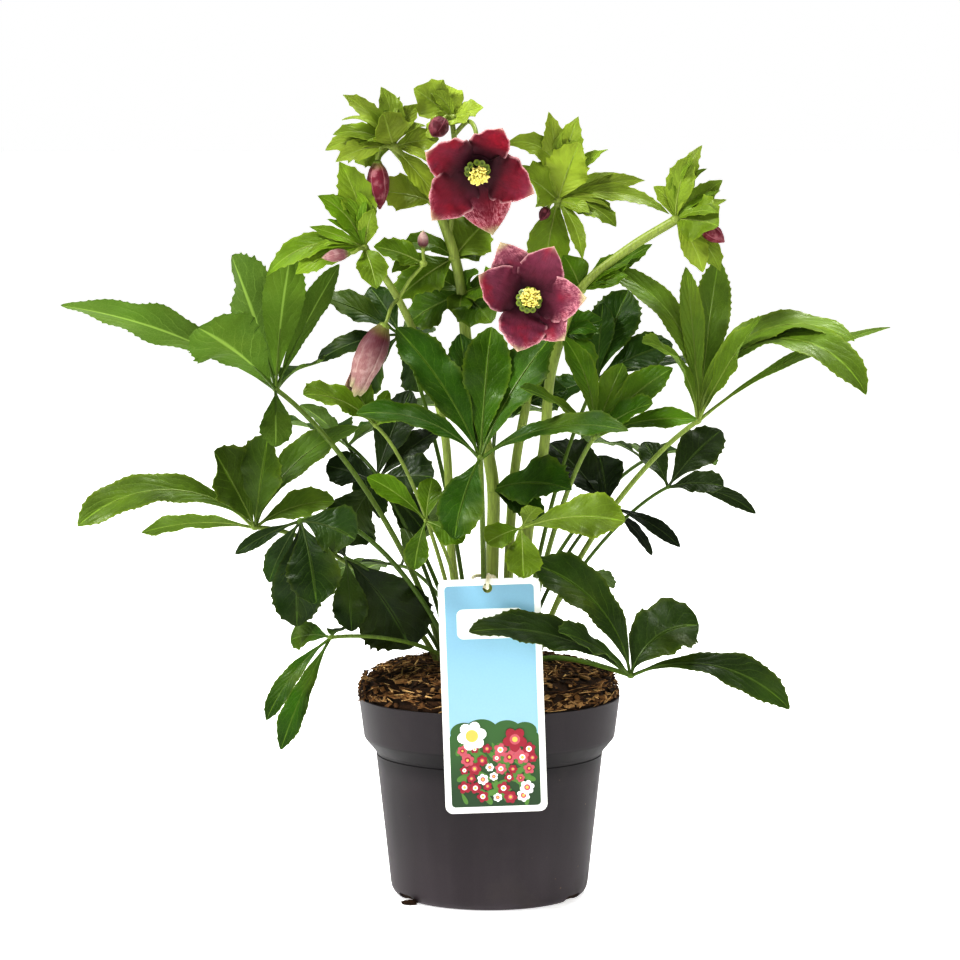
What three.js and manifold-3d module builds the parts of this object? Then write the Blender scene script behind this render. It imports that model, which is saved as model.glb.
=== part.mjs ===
// A hellebore in its nursery pot: a clump of toothed, hand-shaped leaves on long stalks, flowering
// stems with bracts, two open flowers, closed buds, bark compost and a hanging plant label.
// Millimetres, +Z up, +X right, +Y to the back. The origin is the centre of the pot's underside.

import * as THREE from "three";
import { mergeVertices } from "three/addons/utils/BufferGeometryUtils.js";
import Module from "manifold-3d";

const wasm = await Module();
wasm.setup();

// ---------------------------------------------------------------------------------------------
// Driving dimensions
// ---------------------------------------------------------------------------------------------

const CLEARANCE = 0.3; // gap between neighbouring pieces

// The pot: a thin moulded wall, wider in the rim band than below it.
const POT_HEIGHT = 131;
const POT_RIM_RADIUS = 85;
const POT_RIM_BAND = 27; // height of the band below the lip
const POT_RIM_FOOT_RADIUS = 81.6; // outside, at the lower edge of the rim band
const POT_WALL_TOP_RADIUS = 74; // outside, where the slanted shoulder meets the wall
const POT_SHOULDER = 9; // height of the slanted shoulder
const POT_BASE_RADIUS = 63.5;
const POT_CORNER = 8; // height and width of the rounded bottom corner
const POT_WALL = 1.6;
const POT_SEGMENTS = 24;
const DRAIN_NOTCHES = [90, 210, 330]; // degrees round the base
const DRAIN_NOTCH = { width: 17, height: 5, inner: 52, outer: 72 };

// The compost: a low mound of bark, a little proud of the rim in the middle.
const SOIL_EDGE_HEIGHT = 140;
const SOIL_CENTRE_HEIGHT = 150;
const SOIL_RINGS = 4;
const SOIL_SEGMENTS = 16;
const SOIL_CHIP = 1.6; // how far the chips stand out of the mound or sink into it
const CROWN_RADIUS = 40; // the stalks come up within this radius, where the compost is level
const HOLE_DEPTH = 12;
const HOLE_SIDES = 5;
const HOLE_GAP = 0.4; // between a stalk and the side of its hole

// The label: a plastic card that hangs by a strap and leans on the pot's rim.
const LABEL_WIDTH = 64.5;
const LABEL_HEIGHT = 149;
const LABEL_THICKNESS = 0.8;
const LABEL_CORNER = 5;
const LABEL_CORNER_STEPS = 3; // flats in each rounded corner
const LABEL_CENTRE = new THREE.Vector3(1.9, -85.4, 143.6); // of its back, clear of the rim
const LABEL_TILT = 2; // degrees; its top leans to the left
const LABEL_HOLE = { radius: 3, belowTop: 6, left: 1 };
const STRAP_RADIUS = 1.1;
const STRAP_SIDES = 4;
const STRAP_STEPS = 22;
// The strap's closed route: through the hole, over the card's top edge and round a leaf stalk.
const STRAP_ROUTE = [
  [-1.5, -85.8, 212], [-1.5, -88.4, 212.8], [-1.3, -88.8, 216.6], [-0.9, -86.4, 220.4], [0.4, -82.6, 218.6],
  [2.6, -70, 214.4], [3.6, -50, 212.8], [1.6, -31, 212.6], [-4, -28.45, 212.8], [-9.3, -31, 212.6],
  [-10.5, -50, 212.4], [-7.5, -70, 212], [-2.2, -82.4, 212],
];

// Blades.
const BLADE_THICKNESS = 0.8;
const BLADE_WAVE = 0.07; // how far the edges swing up and down, as a share of the half width
const BLADE_FOOT = 0.9; // half the width of a blade where it grows from its stalk
const LEAFLET = {
  rows: [0, 0.3, 0.56, 0.8], // stations from foot to tip, as shares of the length
  teeth: [1, 1.12, 0.88, 1.18], // the width at each station, out to a tooth or in to a notch
  rise: 1.8, // how slowly the width grows from the foot
  fall: 0.88, // how slowly it shrinks to the tip
};
const BRACT = { rows: [0, 0.3, 0.64], teeth: [1, 1, 1.08], rise: 1.3, fall: 1.15 };
const SEPAL = { rows: [0, 0.22, 0.5, 0.78], teeth: [1, 1, 1, 1], rise: 0.8, fall: 1.1 };

// Stalks and stems.
const STALK_SIDES = 4;
const STALK_STEPS = 4;
const STALK_TAPER = 0.8; // the radius of a leaf stalk at its top, as a share of that at the crown
const STEM_SIDES = 5;
const STALK_END = 1.6; // how far a stalk goes on past the point where its leaflets meet
// A stalk's curve, as shares of the way from the crown to that point: its lower part keeps near the
// crown and goes up, by no less than a share of the stalk's length, and its upper part leans out.
const STALK_LOW = { across: 0.1, up: 0.35, least: 0.18 };
const STALK_HIGH = { across: 0.62, up: 0.8 };
const TWIG_SEAT = 4; // the straight end of a twig under its bud or flower
const FOOT_SETBACK = 0.3; // how far from that point they start

// Flowers: a shallow cup of sepals, a ring of nectaries and a tuft of stamens.
const CUP_SLOPE = 11; // degrees that a sepal rises where it leaves the cup
const CUP_BEND = 22; // degrees that it bends forward from there to its tip
const SEPAL_THICKNESS = 0.9;
const SEPAL_FOLD = 0.2; // how far a sepal's edges stand forward, as a share of its half width
const SEPAL_FOOT_RADIUS = 3.2; // where a sepal starts, from the flower's middle
const BACK_SEPAL_OFFSET = 2.1; // how far a sepal that lies behind its neighbours is set back
const RECEPTACLE = { radius: 4.6, back: 2.5, backTaper: 0.6, front: 3.4, frontTaper: 0.8 };
const NECTARIES = { count: 8, inner: 3.8, outer: 7.2, foot: 5.5, footHeight: 0.5, height: 3.6 };
const NECTARY_LIP = { width: 0.8, drop: 0.85 }; // the ring's lip, and how far up its mouth is widest
const NECTARY_NOTCH = 0.8; // the ring's radius between two lobes, as a share of that at a lobe
const STAMENS = {
  core: 3.1, // radius of the tuft's core
  coreTop: 8.6,
  coreTaper: 0.85,
  count: 10, // filaments
  foot: 8, // height at which they leave the core
  footSpread: 1.86, // and how far from its middle the outermost one does
  reach: 12.5, // height of the middle ones
  dip: 2.5, // how much lower the outermost ones end
  spread: 7.5,
  radius: 0.9,
};
const GOLDEN_ANGLE = 137.5; // degrees from one filament to the next

// Buds.
const BUD_SIDES = 6;
const BUD_LOBES = 0.1; // how far the folded sepals stand out, as a share of the radius

// ---------------------------------------------------------------------------------------------
// The plant's pieces, in millimetres
// ---------------------------------------------------------------------------------------------

// Each leaf: where its stalk leaves the crown (X, Y), where its leaflets meet (X, Y, Z), how far the
// stalk arches up as a share of its length, its radius, and the way the upper side looks.
// Each leaflet: its tip measured from the leaflets' meeting point (X, Y, Z), its width, and how many
// degrees it bends over from base to tip.
const LEAVES = {
  leaf_upper_left: {
    root: [-30, -8], hub: [-137, -20, 332], arch: 0.03, stalk: 1.9, face: [0, 0.9, 0.8],
    leaflets: [
      [-132, -50, 57, 32, 28],
      [-45, -65, 44, 44, 20],
      [-30, 40, 84, 46, 15],
      [10, 5, 88, 26, 10],
      [40, 25, 79, 17, 12],
      [23, 60, 12, 28, 30],
      [1, -25, -35, 20, 25],
    ],
  },
  leaf_middle_left: {
    root: [-34, 4], hub: [-152, -5, 241], arch: 0.12, stalk: 1.8, face: [0, -0.7, 0.8],
    leaflets: [
      [-110, -45, 6, 28, 89],
      [-24, -25, 52, 40, 10],
      [10, -20, 62, 32, 10],
      [-77, 40, -8, 18, 25],
      [67, 25, 63, 25, 60],
      [52, -8, 18, 22, 40],
    ],
  },
  leaf_crinkled_left: {
    root: [-22, -20], hub: [-120, -55, 251], arch: 0.25, stalk: 1.7, face: [0, -1, 0.5],
    leaflets: [
      [11, -25, -50, 34, 30],
      [-3, 8, -69, 32, 15],
      [-21, 12, -41, 16, 20],
      [-41, -10, -20, 9, 20],
      [35, -15, -10, 32, 30],
    ],
  },
  leaf_drooping_left: {
    root: [-22, -27], hub: [-101, -60, 177], arch: 0.08, stalk: 1.5, face: [-0.3, -0.9, 0.6],
    leaflets: [
      [-40, -20, -50, 13, 35],
      [-32, -2, -72, 17, 12],
      [-27, 30, -6, 18, 30],
      [6, 30, 2, 14, 20],
    ],
  },
  leaf_inner_left: {
    root: [-29, -13], hub: [-92, -30, 224], arch: 0.05, stalk: 1.3, face: [0.1, -1, 0.15],
    leaflets: [
      [41, 8, -60, 48, 25],
      [4, -18, -45, 22, 15],
      [-12, 14, 14, 18, 20],
    ],
  },
  leaf_centre: {
    root: [-3, -16], hub: [-6, -75, 293], arch: 0.1, stalk: 2.0, face: [0, -0.7, 0.8],
    leaflets: [
      [-53, 18, 81, 34, 25],
      [-13, 35, 76, 24, 10],
      [7, 25, 81, 30, 12],
      [46, 24, 76, 32, 25],
      [-77, -25, 30, 22, 55],
      [92, -30, 20, 22, 50],
      [-16, -38, -47, 28, 40],
    ],
  },
  leaf_centre_right: {
    root: [24, -14], hub: [66, -55, 304], arch: 0.04, stalk: 1.8, face: [0, -0.7, 0.8],
    leaflets: [
      [36, -25, 24, 24, 30],
      [19, 15, 46, 18, 10],
      [50, 5, 44, 22, 25],
      [65, -5, 12, 14, 35],
      [-47, -38, 35, 16, 35],
      [-20, 12, 64, 16, 50],
    ],
  },
  leaf_upper_right: {
    root: [31, -2], hub: [134, -15, 311], arch: 0.03, stalk: 1.9, face: [0.1, -0.6, 0.8],
    leaflets: [
      [97, -35, 54, 26, 120],
      [102, -62, 22, 28, 145],
      [124, 8, 60, 10, 30],
      [37, -45, 70, 28, 15],
      [-8, 5, 99, 15, 8],
      [15, 35, 103, 24, 8],
      [-58, 25, 96, 20, 85],
      [-38, -50, 54, 20, 80],
    ],
  },
  leaf_dark_right: {
    root: [29, 11], hub: [118, 45, 262], arch: 0.05, stalk: 1.3, face: [0, -0.8, 0.7],
    leaflets: [
      [36, 20, 36, 28, 20],
      [36, -12, 2, 20, 30],
      [59, 12, -19, 10, 45],
      [-15, 22, 28, 18, 20],
    ],
  },
  leaf_dark_inner_right: {
    root: [23, 19], hub: [78, 35, 250], arch: 0.05, stalk: 1.3, face: [0, -0.8, 0.7],
    leaflets: [
      [-5, 20, 32, 27, 15],
      [-38, 20, 40, 32, 20],
      [47, -14, -25, 10, 35],
      [30, 15, -34, 9, 30],
    ],
  },
  leaf_front_right: {
    root: [25, -25], hub: [89, -75, 155], arch: 0.08, stalk: 1.8, face: [0, -0.6, 0.8],
    leaflets: [
      [44, 15, 30, 46, 85],
      [100, -10, -20, 24, 75],
      [-46, -45, 34, 26, 30],
      [-64, 12, 70, 34, 70],
      [-102, -50, 35, 30, 45],
    ],
  },
  leaf_young_front: {
    root: [8, -23], hub: [20, -95, 251], arch: 0.1, stalk: 1.3, face: [0, -0.9, 0.7],
    leaflets: [
      [64, -15, 6, 30, 35],
      [1, -20, -29, 23, 20],
      [-22, -12, -8, 19, 25],
      [10, 30, 10, 14, 20],
    ],
  },
  leaf_middle_centre_left: {
    root: [-26, 3], hub: [-74, 0, 270], arch: 0.05, stalk: 1.5, face: [0, -0.8, 0.7],
    leaflets: [
      [38, -15, 5, 29, 25],
      [-20, 8, -42, 38, 25],
      [42, 15, 33, 18, 25],
      [23, 20, 58, 26, 15],
      [32, 10, -34, 24, 20],
      [-32, 6, 10, 24, 20],
    ],
  },
  leaf_young_left: {
    root: [-11, -25], hub: [-40, -90, 255], arch: 0.1, stalk: 1.3, face: [0, -0.8, 0.7],
    leaflets: [
      [-37, 5, 27, 15, 30],
      [23, -15, -12, 18, 25],
      [4, 10, 26, 15, 20],
      [-7, -8, -30, 15, 25],
    ],
  },
  leaf_young_upper_left: {
    root: [-18, -12], hub: [-72, -70, 313], arch: 0.08, stalk: 1.4, face: [0, -0.8, 0.7],
    leaflets: [
      [-44, -27, 22, 25, 50],
      [8, 5, 22, 9, 10],
      [-17, 10, 28, 18, 15],
      [17, -5, 9, 9, 15],
    ],
  },
  leaf_high_left: {
    root: [-12, 14], hub: [-59, 45, 363], arch: 0.04, stalk: 1.5, face: [-0.1, -0.7, 0.8],
    leaflets: [
      [-55, -5, 26, 25, 25],
      [-54, 5, -18, 18, 35],
      [-20, 20, 30, 20, 20],
      [20, 25, 5, 20, 25],
      [14, 22, -40, 28, 25],
      [-26, 14, -44, 26, 25],
    ],
  },
  leaf_high_right: {
    root: [22, 9], hub: [71, 45, 333], arch: 0.03, stalk: 1.5, face: [0, -0.7, 0.8],
    leaflets: [
      [4, 10, 50, 18, 10],
      [21, 20, 58, 31, 15],
      [50, 5, 23, 25, 30],
      [80, 15, 12, 10, 25],
      [-20, 15, 30, 18, 20],
      [-37, 12, -16, 26, 25],
    ],
  },
  leaf_rear_right: {
    root: [15, 27], hub: [105, 95, 275], arch: 0.06, stalk: 1.4, face: [0.2, 0.3, 0.9],
    leaflets: [
      [5, 70, -5, 26, 50],
      [50, 45, -8, 24, 50],
      [-40, 55, 6, 24, 40],
    ],
  },
  leaf_rear_left: {
    root: [-20, 20], hub: [-95, 95, 285], arch: 0.06, stalk: 1.5, face: [-0.2, 0.3, 0.9],
    leaflets: [
      [-60, 35, 10, 26, 45],
      [-20, 80, 0, 28, 50],
      [35, 60, 15, 24, 40],
      [-30, -30, 30, 18, 20],
      [48, -28, 30, 28, 20],
      [22, -30, -46, 28, 20],
    ],
  },
  leaf_rear: {
    root: [-3, 25], hub: [5, 125, 300], arch: 0.08, stalk: 1.5, face: [0, 0.4, 0.9],
    leaflets: [
      [-60, 30, 5, 26, 45],
      [-25, 80, -5, 28, 55],
      [35, 75, 0, 28, 50],
      [-34, -38, 22, 28, 20],
      [32, -40, 10, 28, 20],
    ],
  },
  leaf_low_rear_left: {
    root: [-13, 30], hub: [-60, 120, 200], arch: 0.1, stalk: 1.4, face: [0, 0.2, 1],
    leaflets: [
      [-65, 20, -15, 24, 50],
      [-40, 60, -25, 26, 55],
      [26, -45, 50, 28, 20],
    ],
  },
  leaf_low_rear_right: {
    root: [8, 32], hub: [38, 125, 195], arch: 0.1, stalk: 1.4, face: [0, 0.2, 1],
    leaflets: [
      [48, 30, -15, 24, 50],
      [40, 65, -25, 26, 55],
    ],
  },
};

// Each flowering stem: where it leaves the crown, the points that it passes through, its radius at the
// crown and at the top, and the twigs and bract clusters on it. A twig is a thinner branch, which may
// end at a bud or a flower. Bracts are given as leaflets are, each cluster about its meeting point.
const STEMS = {
  stem_left: {
    root: [-13, -6],
    path: [[-24, -18, 220], [-29, -28, 306], [-44, -36, 359], [-58, -42, 391], [-79, -48, 424]],
    radii: [3.0, 2.2],
    twigs: [
      {
        path: [[-58, -42, 391], [-50, -48, 404], [-42, -51, 414]],
        radii: [1.3, 1.1],
        carries: "bud_small_upright",
      },
      {path: [[-58, -42, 391], [-62, -58, 387]], radii: [1.3, 1.1], carries: "bud_pale"},
      {path: [[-79, -48, 424], [-83, -57, 423]], radii: [1.2, 1.0], carries: "bud_small_left"},
    ],
    clusters: [
      {hub: [-79, -48, 424], face: [0, -0.8, 0.6], bracts: [
        [-16, 5, 54, 22, 35],
        [-29, -10, 33, 15, 50],
        [6, -12, 25, 12, 30],
        [-3, 24, 38, 16, 15],
        [-35, 5, 13, 8, 15],
        [-44, 2, -17, 18, 40],
        [-63, 10, -19, 16, 75],
        [8, -20, -25, 19, 30],
      ]},
      {hub: [-42, -50, 414], face: [0, -0.8, 0.6], bracts: [
        [-31, -8, 11, 20, 25],
      ]},
    ],
  },
  stem_main: {
    root: [0, 5],
    path: [
      [2, 5, 225], [2, 0, 271], [-9, -5, 324], [-15, -10, 363], [-18, -15, 396],
      [-26, -20, 429], [-40, -25, 461], [-61, -30, 487],
    ],
    radii: [4.6, 2.9],
    twigs: [
      {path: [[-26, -20, 429], [-22, -24, 461], [-22, -27, 487], [-24, -30, 505]], radii: [2.2, 1.6]},
      {path: [[-23, -28, 494], [-14, -35, 503], [-9, -49, 498]], radii: [1.5, 1.3], carries: "flower_upper"},
      {path: [[-61, -30, 487], [-68, -36, 487]], radii: [1.4, 1.2], carries: "bud_hanging"},
      {path: [[-24, -30, 505]], radii: [1.3, 1.1], carries: "bud_top"},
    ],
    clusters: [
      {hub: [-61, -30, 487], face: [0, -0.8, 0.6], bracts: [
        [-32, 0, 33, 13, 40],
        [-8, 5, 38, 15, 45],
        [-38, -10, 8, 13, 60],
        [-43, -8, -2, 16, 60],
        [-36, -20, -9, 14, 40],
        [-25, 10, -10, 19, 30],
        [17, 5, 27, 12, 50],
        [29, 0, 5, 16, 20],
        [-6, -15, 22, 24, 10],
        [30, -7, -36, 14, 15],
      ]},
      {hub: [-24, -30, 505], face: [0, -0.8, 0.6], bracts: [
        [-24, -5, 19, 27, 15],
        [-5, 8, 22, 19, 10],
        [20, 0, 7, 14, 35],
        [-16, 0, -12, 16, 20],
        [8, -14, -3, 14, 15],
      ]},
      {hub: [-36, -24, 452], face: [0, -0.8, 0.6], bracts: [
        [-35, -6, 7, 23, 20],
      ]},
      {hub: [-23, -18, 416], face: [0, -0.8, 0.6], bracts: [
        [-36, -12, -26, 31, 20],
        [21, 8, 23, 32, 15],
      ]},
      {hub: [-17, -14, 393], face: [0, -0.8, 0.6], bracts: [
        [22, -22, 8, 24, 20],
        [18, -28, -17, 33, 20],
        [-38, 12, -22, 30, 25],
      ]},
      {hub: [2, 0, 265], face: [0, -0.8, 0.6], bracts: [
        [50, -56, 6, 35, 30],
      ]},
    ],
  },
  stem_right: {
    root: [18, -4],
    path: [
      [26, -2, 245], [35, -10, 292], [39, -15, 339], [46, -20, 366], [58, -25, 396],
      [88, -30, 422], [118, -35, 441],
    ],
    radii: [3.6, 3.0],
    twigs: [
      {path: [[118, -35, 441], [127, -39, 442]], radii: [1.4, 1.2], carries: "bud_right"},
    ],
    clusters: [
      {hub: [118, -35, 441], face: [0, -0.8, 0.6], bracts: [
        [10, -4, 42, 17, 30],
        [17, 8, 47, 15, 40],
        [-14, 5, 21, 11, 60],
        [30, 5, 25, 14, 10],
        [32, -5, 13, 8, 10],
        [26, -22, -3, 30, 25],
        [17, -8, -33, 16, 35],
        [29, 5, -33, 14, 45],
      ]},
      {hub: [58, -25, 396], face: [0, -0.8, 0.6], bracts: [
        [46, 4, 29, 14, 10],
        [33, -8, 22, 16, 10],
        [30, -12, 10, 12, 15],
        [-11, 5, 22, 19, 30],
      ]},
      {hub: [46, -20, 366], face: [0, -0.8, 0.6], bracts: [
        [27, 6, 10, 20, 20],
        [20, -6, -24, 20, 25],
      ]},
    ],
  },
  stem_upper_right: {
    root: [11, 14],
    path: [[16, 12, 271], [24, 10, 320], [36, 5, 376], [41, 0, 413], [44, -5, 452]],
    radii: [3.4, 2.4],
    twigs: [
      {path: [[30, 8, 350], [27, -20, 374], [24, -50, 389]], radii: [1.7, 1.4], carries: "flower_lower"},
      {path: [[44, -5, 452]], radii: [1.2, 1.0], carries: "bud_dark"},
    ],
    clusters: [
      {hub: [44, -5, 452], face: [0, -0.8, 0.6], bracts: [
        [-34, -9, 36, 16, 135],
        [-6, 1, 57, 18, 14],
        [13, 5, 54, 20, 20],
        [-22, -18, 17, 32, 20],
        [14, -8, 38, 27, 15],
        [32, 5, 33, 10, 55],
        [56, 5, 13, 12, 30],
        [71, -8, -8, 12, 60],
        [37, -12, -16, 19, 60],
        [-8, -9, -55, 26, 25],
        [20, -15, -7, 11, 25],
      ]},
      {hub: [24, 10, 320], face: [0, -0.8, 0.6], bracts: [
        [-25, 6, -10, 22, 25],
        [27, 8, 8, 22, 25],
      ]},
    ],
  },
};

// Each closed bud: where it sits on its twig, the way it points, its length and its width.
const BUDS = {
  bud_hanging: {base: [-71, -38, 477], axis: [0.05, -0.05, -1], length: 29, width: 14},
  bud_top: {base: [-29.5, -40, 504], axis: [-0.35, -0.75, -0.55], length: 17, width: 12.5},
  bud_right: {base: [135, -41, 437.5], axis: [0.8, -0.1, -0.6], length: 17, width: 11},
  bud_pale: {base: [-66.5, -65, 375], axis: [-0.42, -0.1, -0.9], length: 46, width: 19},
  bud_small_left: {base: [-89, -59.5, 420.8], axis: [-0.95, -0.2, -0.15], length: 17, width: 8},
  bud_small_upright: {base: [-42, -52, 424], axis: [0, -0.1, 1], length: 11, width: 7},
  bud_dark: {base: [37.5, -12, 448], axis: [-0.5, -0.3, -0.8], length: 10, width: 7},
};

// Each open flower: the back of its cup, the way it looks, and the angle, length and width of each
// sepal, with those that lie behind their neighbours marked 1.
const FLOWERS = {
  flower_upper: {
    centre: [-8, -66, 475], axis: [0.05, -0.9, -0.42],
    sepals: [[153, 37, 31, 0], [66, 35, 26, 1], [-18, 37, 33, 0], [-76, 42, 35, 1], [-134, 41, 33, 0]],
  },
  flower_lower: {
    centre: [24, -76, 392], axis: [0.08, -0.96, 0.12],
    sepals: [
      [155, 35, 30, 0], [117, 40, 30, 1], [65, 36, 30, 0],
      [1, 35, 29, 0], [-50, 33, 27, 1], [-104, 33, 31, 0],
    ],
  },
};

// ---------------------------------------------------------------------------------------------
// Materials
// ---------------------------------------------------------------------------------------------

const material = (color, roughness) => new THREE.MeshStandardMaterial({ color, roughness, metalness: 0 });

const POT_PLASTIC = material(0x464044, 0.55);
const BARK = material(0x5a3a20, 0.95);
const LABEL_CARD = material(0xcfe6ec, 0.35);
const STRAP_PLASTIC = material(0xe8e2cc, 0.5);
const OLD_LEAF = material(0x2c5020, 0.5);
const YOUNG_LEAF = material(0x7aa52c, 0.5);
const GREEN_STEM = material(0x86a050, 0.55);
const PLUM_SEPAL = material(0x7a1e3c, 0.5);
const GREEN_NECTARY = material(0x8fa83a, 0.5);
const YELLOW_STAMEN = material(0xe0d070, 0.6);
const BUD_PINK = material(0xb4466c, 0.5);

// ---------------------------------------------------------------------------------------------
// Solids
// ---------------------------------------------------------------------------------------------

const UP = new THREE.Vector3(0, 0, 1);
const vector = ([x, y, z]) => new THREE.Vector3(x, y, z);
const radians = THREE.MathUtils.degToRad;

// A closed solid from points and faces; a face with more than three corners is split as a fan.
function solid(points, faces) {
  const fan = (face) => face.slice(2).flatMap((_, i) => [face[0], face[i + 1], face[i + 2]]);
  return new wasm.Manifold(
    new wasm.Mesh({
      numProp: 3,
      vertProperties: new Float32Array(points.flatMap((point) => point.toArray())),
      triVerts: new Uint32Array(faces.flatMap(fan)),
    }),
  );
}

// A three.js geometry as a solid: its corners are merged, so that its faces share them.
function geometrySolid(geometry) {
  geometry.deleteAttribute("normal");
  geometry.deleteAttribute("uv");
  const merged = mergeVertices(geometry, 1e-4);
  const triangles = [];
  for (let i = 0; i < merged.index.count; i += 3) {
    const corners = [0, 1, 2].map((corner) => merged.index.getX(i + corner));
    if (new Set(corners).size === 3) triangles.push(...corners);
  }
  return new wasm.Manifold(
    new wasm.Mesh({
      numProp: 3,
      vertProperties: merged.attributes.position.array,
      triVerts: new Uint32Array(triangles),
    }),
  );
}

const join = (solids) => solids.reduce((whole, piece) => whole.add(piece));

function geometryOf(manifold) {
  const mesh = manifold.getMesh();
  const geometry = new THREE.BufferGeometry();
  geometry.setAttribute("position", new THREE.BufferAttribute(mesh.vertProperties, mesh.numProp));
  geometry.setIndex(new THREE.BufferAttribute(mesh.triVerts, 1));
  geometry.computeVertexNormals();
  return geometry;
}

// Rings of points, each with as many as the others, skinned into a closed solid with flat ends.
function skin(rings) {
  const sides = rings[0].length;
  const faces = [];
  for (let ring = 0; ring + 1 < rings.length; ring++)
    for (let side = 0; side < sides; side++) {
      const next = (side + 1) % sides;
      const [low, high] = [ring * sides, (ring + 1) * sides];
      faces.push([low + side, low + next, high + next, high + side]);
    }
  const indices = [...Array(sides).keys()];
  faces.push(indices.slice().reverse(), indices.map((i) => i + (rings.length - 1) * sides));
  return solid(rings.flat(), faces);
}

// A unit vector square to another, as close as can be to a wanted one.
function squareTo(direction, wanted) {
  const across = wanted.clone().addScaledVector(direction, -wanted.dot(direction));
  if (across.length() < 0.05) return squareTo(direction, new THREE.Vector3(0.3, -1, 0.2));
  return across.normalize();
}

// A round bar through a row of points, with its radius going evenly from the first to the last.
function bar(points, radii, sides) {
  let across = squareTo(points[1].clone().sub(points[0]).normalize(), new THREE.Vector3(1, 0, 0));
  const rings = points.map((point, i) => {
    const ahead = points[Math.min(i + 1, points.length - 1)];
    const behind = points[Math.max(i - 1, 0)];
    const along = ahead.clone().sub(behind).normalize();
    across = squareTo(along, across);
    const up = along.clone().cross(across);
    const radius = THREE.MathUtils.lerp(radii[0], radii[1], i / (points.length - 1));
    return [...Array(sides).keys()].map((side) => {
      const angle = (2 * Math.PI * side) / sides;
      return point
        .clone()
        .addScaledVector(across, radius * Math.cos(angle))
        .addScaledVector(up, radius * Math.sin(angle));
    });
  });
  return skin(rings);
}

// ---------------------------------------------------------------------------------------------
// Blades: leaflets, bracts and sepals
// ---------------------------------------------------------------------------------------------

// The half width of a blade at a share of its length, 1 at its widest.
function outline(share, { rise, fall }) {
  const widest = rise / (rise + fall);
  return Math.pow(share / widest, rise) * Math.pow((1 - share) / (1 - widest), fall);
}

// A blade bent along one arc, with waved and toothed edges, and folded up along its midrib if asked.
// reach goes from its foot to its tip. Its arc rises towards lift and falls back again, by bend degrees
// in all, and its upper side turns towards face as far as its arc lets it.
function blade({ foot, reach, lift = UP, face, width, bend, shape, thickness = BLADE_THICKNESS, fold = 0 }) {
  const chord = reach.clone().normalize();
  const upright = squareTo(chord, lift);
  const arc = radians(Math.max(bend, 2));
  const start = chord.clone().multiplyScalar(Math.cos(arc / 2)).addScaledVector(upright, Math.sin(arc / 2));
  const inward = upright.clone().multiplyScalar(-Math.cos(arc / 2)).addScaledVector(chord, Math.sin(arc / 2));
  const radius = reach.length() / (2 * Math.sin(arc / 2));
  const spineAt = (share) =>
    foot
      .clone()
      .addScaledVector(start, radius * Math.sin(arc * share))
      .addScaledVector(inward, radius * (1 - Math.cos(arc * share)));
  const alongAt = (share) =>
    start
      .clone()
      .multiplyScalar(Math.cos(arc * share))
      .addScaledVector(inward, Math.sin(arc * share));

  const points = shape.rows.flatMap((share, row) => {
    const half = Math.max((width / 2) * outline(share, shape) * shape.teeth[row], BLADE_FOOT);
    const wave = row ? BLADE_WAVE * half * (row % 2 ? 1 : -1) : 0;
    const spine = spineAt(share);
    const up = squareTo(alongAt(share), face);
    const side = alongAt(share).cross(up);
    const ribs = [-1, 0, 1].filter((rib) => rib || fold);
    const top = ribs.map((rib) =>
      spine
        .clone()
        .addScaledVector(side, rib * half)
        .addScaledVector(up, rib ? fold * half - rib * wave : 0),
    );
    return [...top, ...top.map((point) => point.clone().addScaledVector(up, -thickness))];
  });
  const tip = points.push(spineAt(1), spineAt(1).addScaledVector(squareTo(alongAt(1), face), -thickness)) - 2;

  // A row has its points from left to right on top, and then the same below them.
  const across = fold ? 3 : 2;
  const last = 2 * across * (shape.rows.length - 1);
  const faces = [];
  for (let rib = 0; rib + 1 < across; rib++) {
    for (let a = rib; a < last; a += 2 * across) {
      const b = a + 2 * across;
      faces.push([a, a + 1, b + 1, b], [a + across, b + across, b + across + 1, a + across + 1]);
    }
    const end = last + rib;
    faces.push([rib, rib + across, rib + across + 1, rib + 1]);
    faces.push([end, end + 1, tip], [end + across + 1, end + across, tip + 1]);
  }
  for (let a = 0; a <= last; a += 2 * across) {
    const right = a + across - 1;
    const [ahead, below] = a < last ? [2 * across, a + 3 * across] : [tip - a, tip + 1];
    faces.push([a, a + ahead, below, a + across]);
    const [rightAhead, rightBelow] = a < last ? [right + 2 * across, right + 3 * across] : [tip, tip + 1];
    faces.push([right, right + across, rightBelow, rightAhead]);
  }
  return solid(points, faces);
}

// ---------------------------------------------------------------------------------------------
// Leaves
// ---------------------------------------------------------------------------------------------

// The part of a stalk that stands in its hole in the compost.
const footInSoil = ([x, y]) => [
  new THREE.Vector3(x, y, SOIL_CENTRE_HEIGHT - HOLE_DEPTH + CLEARANCE),
  new THREE.Vector3(x, y, SOIL_CENTRE_HEIGHT + SOIL_CHIP),
];

// A stalk rises steeply from the crown and arches over towards the leaf's meeting point.
function stalkPoints({ root, hub, arch }) {
  const [bottom, ground] = footInSoil(root);
  const top = vector(hub);
  const run = top.clone().sub(ground);
  const length = run.length();
  const rise = Math.max(STALK_LOW.up * run.z, STALK_LOW.least * length);
  const low = ground.clone().add(new THREE.Vector3(STALK_LOW.across * run.x, STALK_LOW.across * run.y, rise));
  const { across, up } = STALK_HIGH;
  const crest = up * run.z + arch * length;
  const high = ground.clone().add(new THREE.Vector3(across * run.x, across * run.y, crest));
  const end = top.clone().add(top.clone().sub(high).setLength(STALK_END));
  return [bottom, ...new THREE.CubicBezierCurve3(ground, low, high, top).getPoints(STALK_STEPS), end];
}

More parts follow.
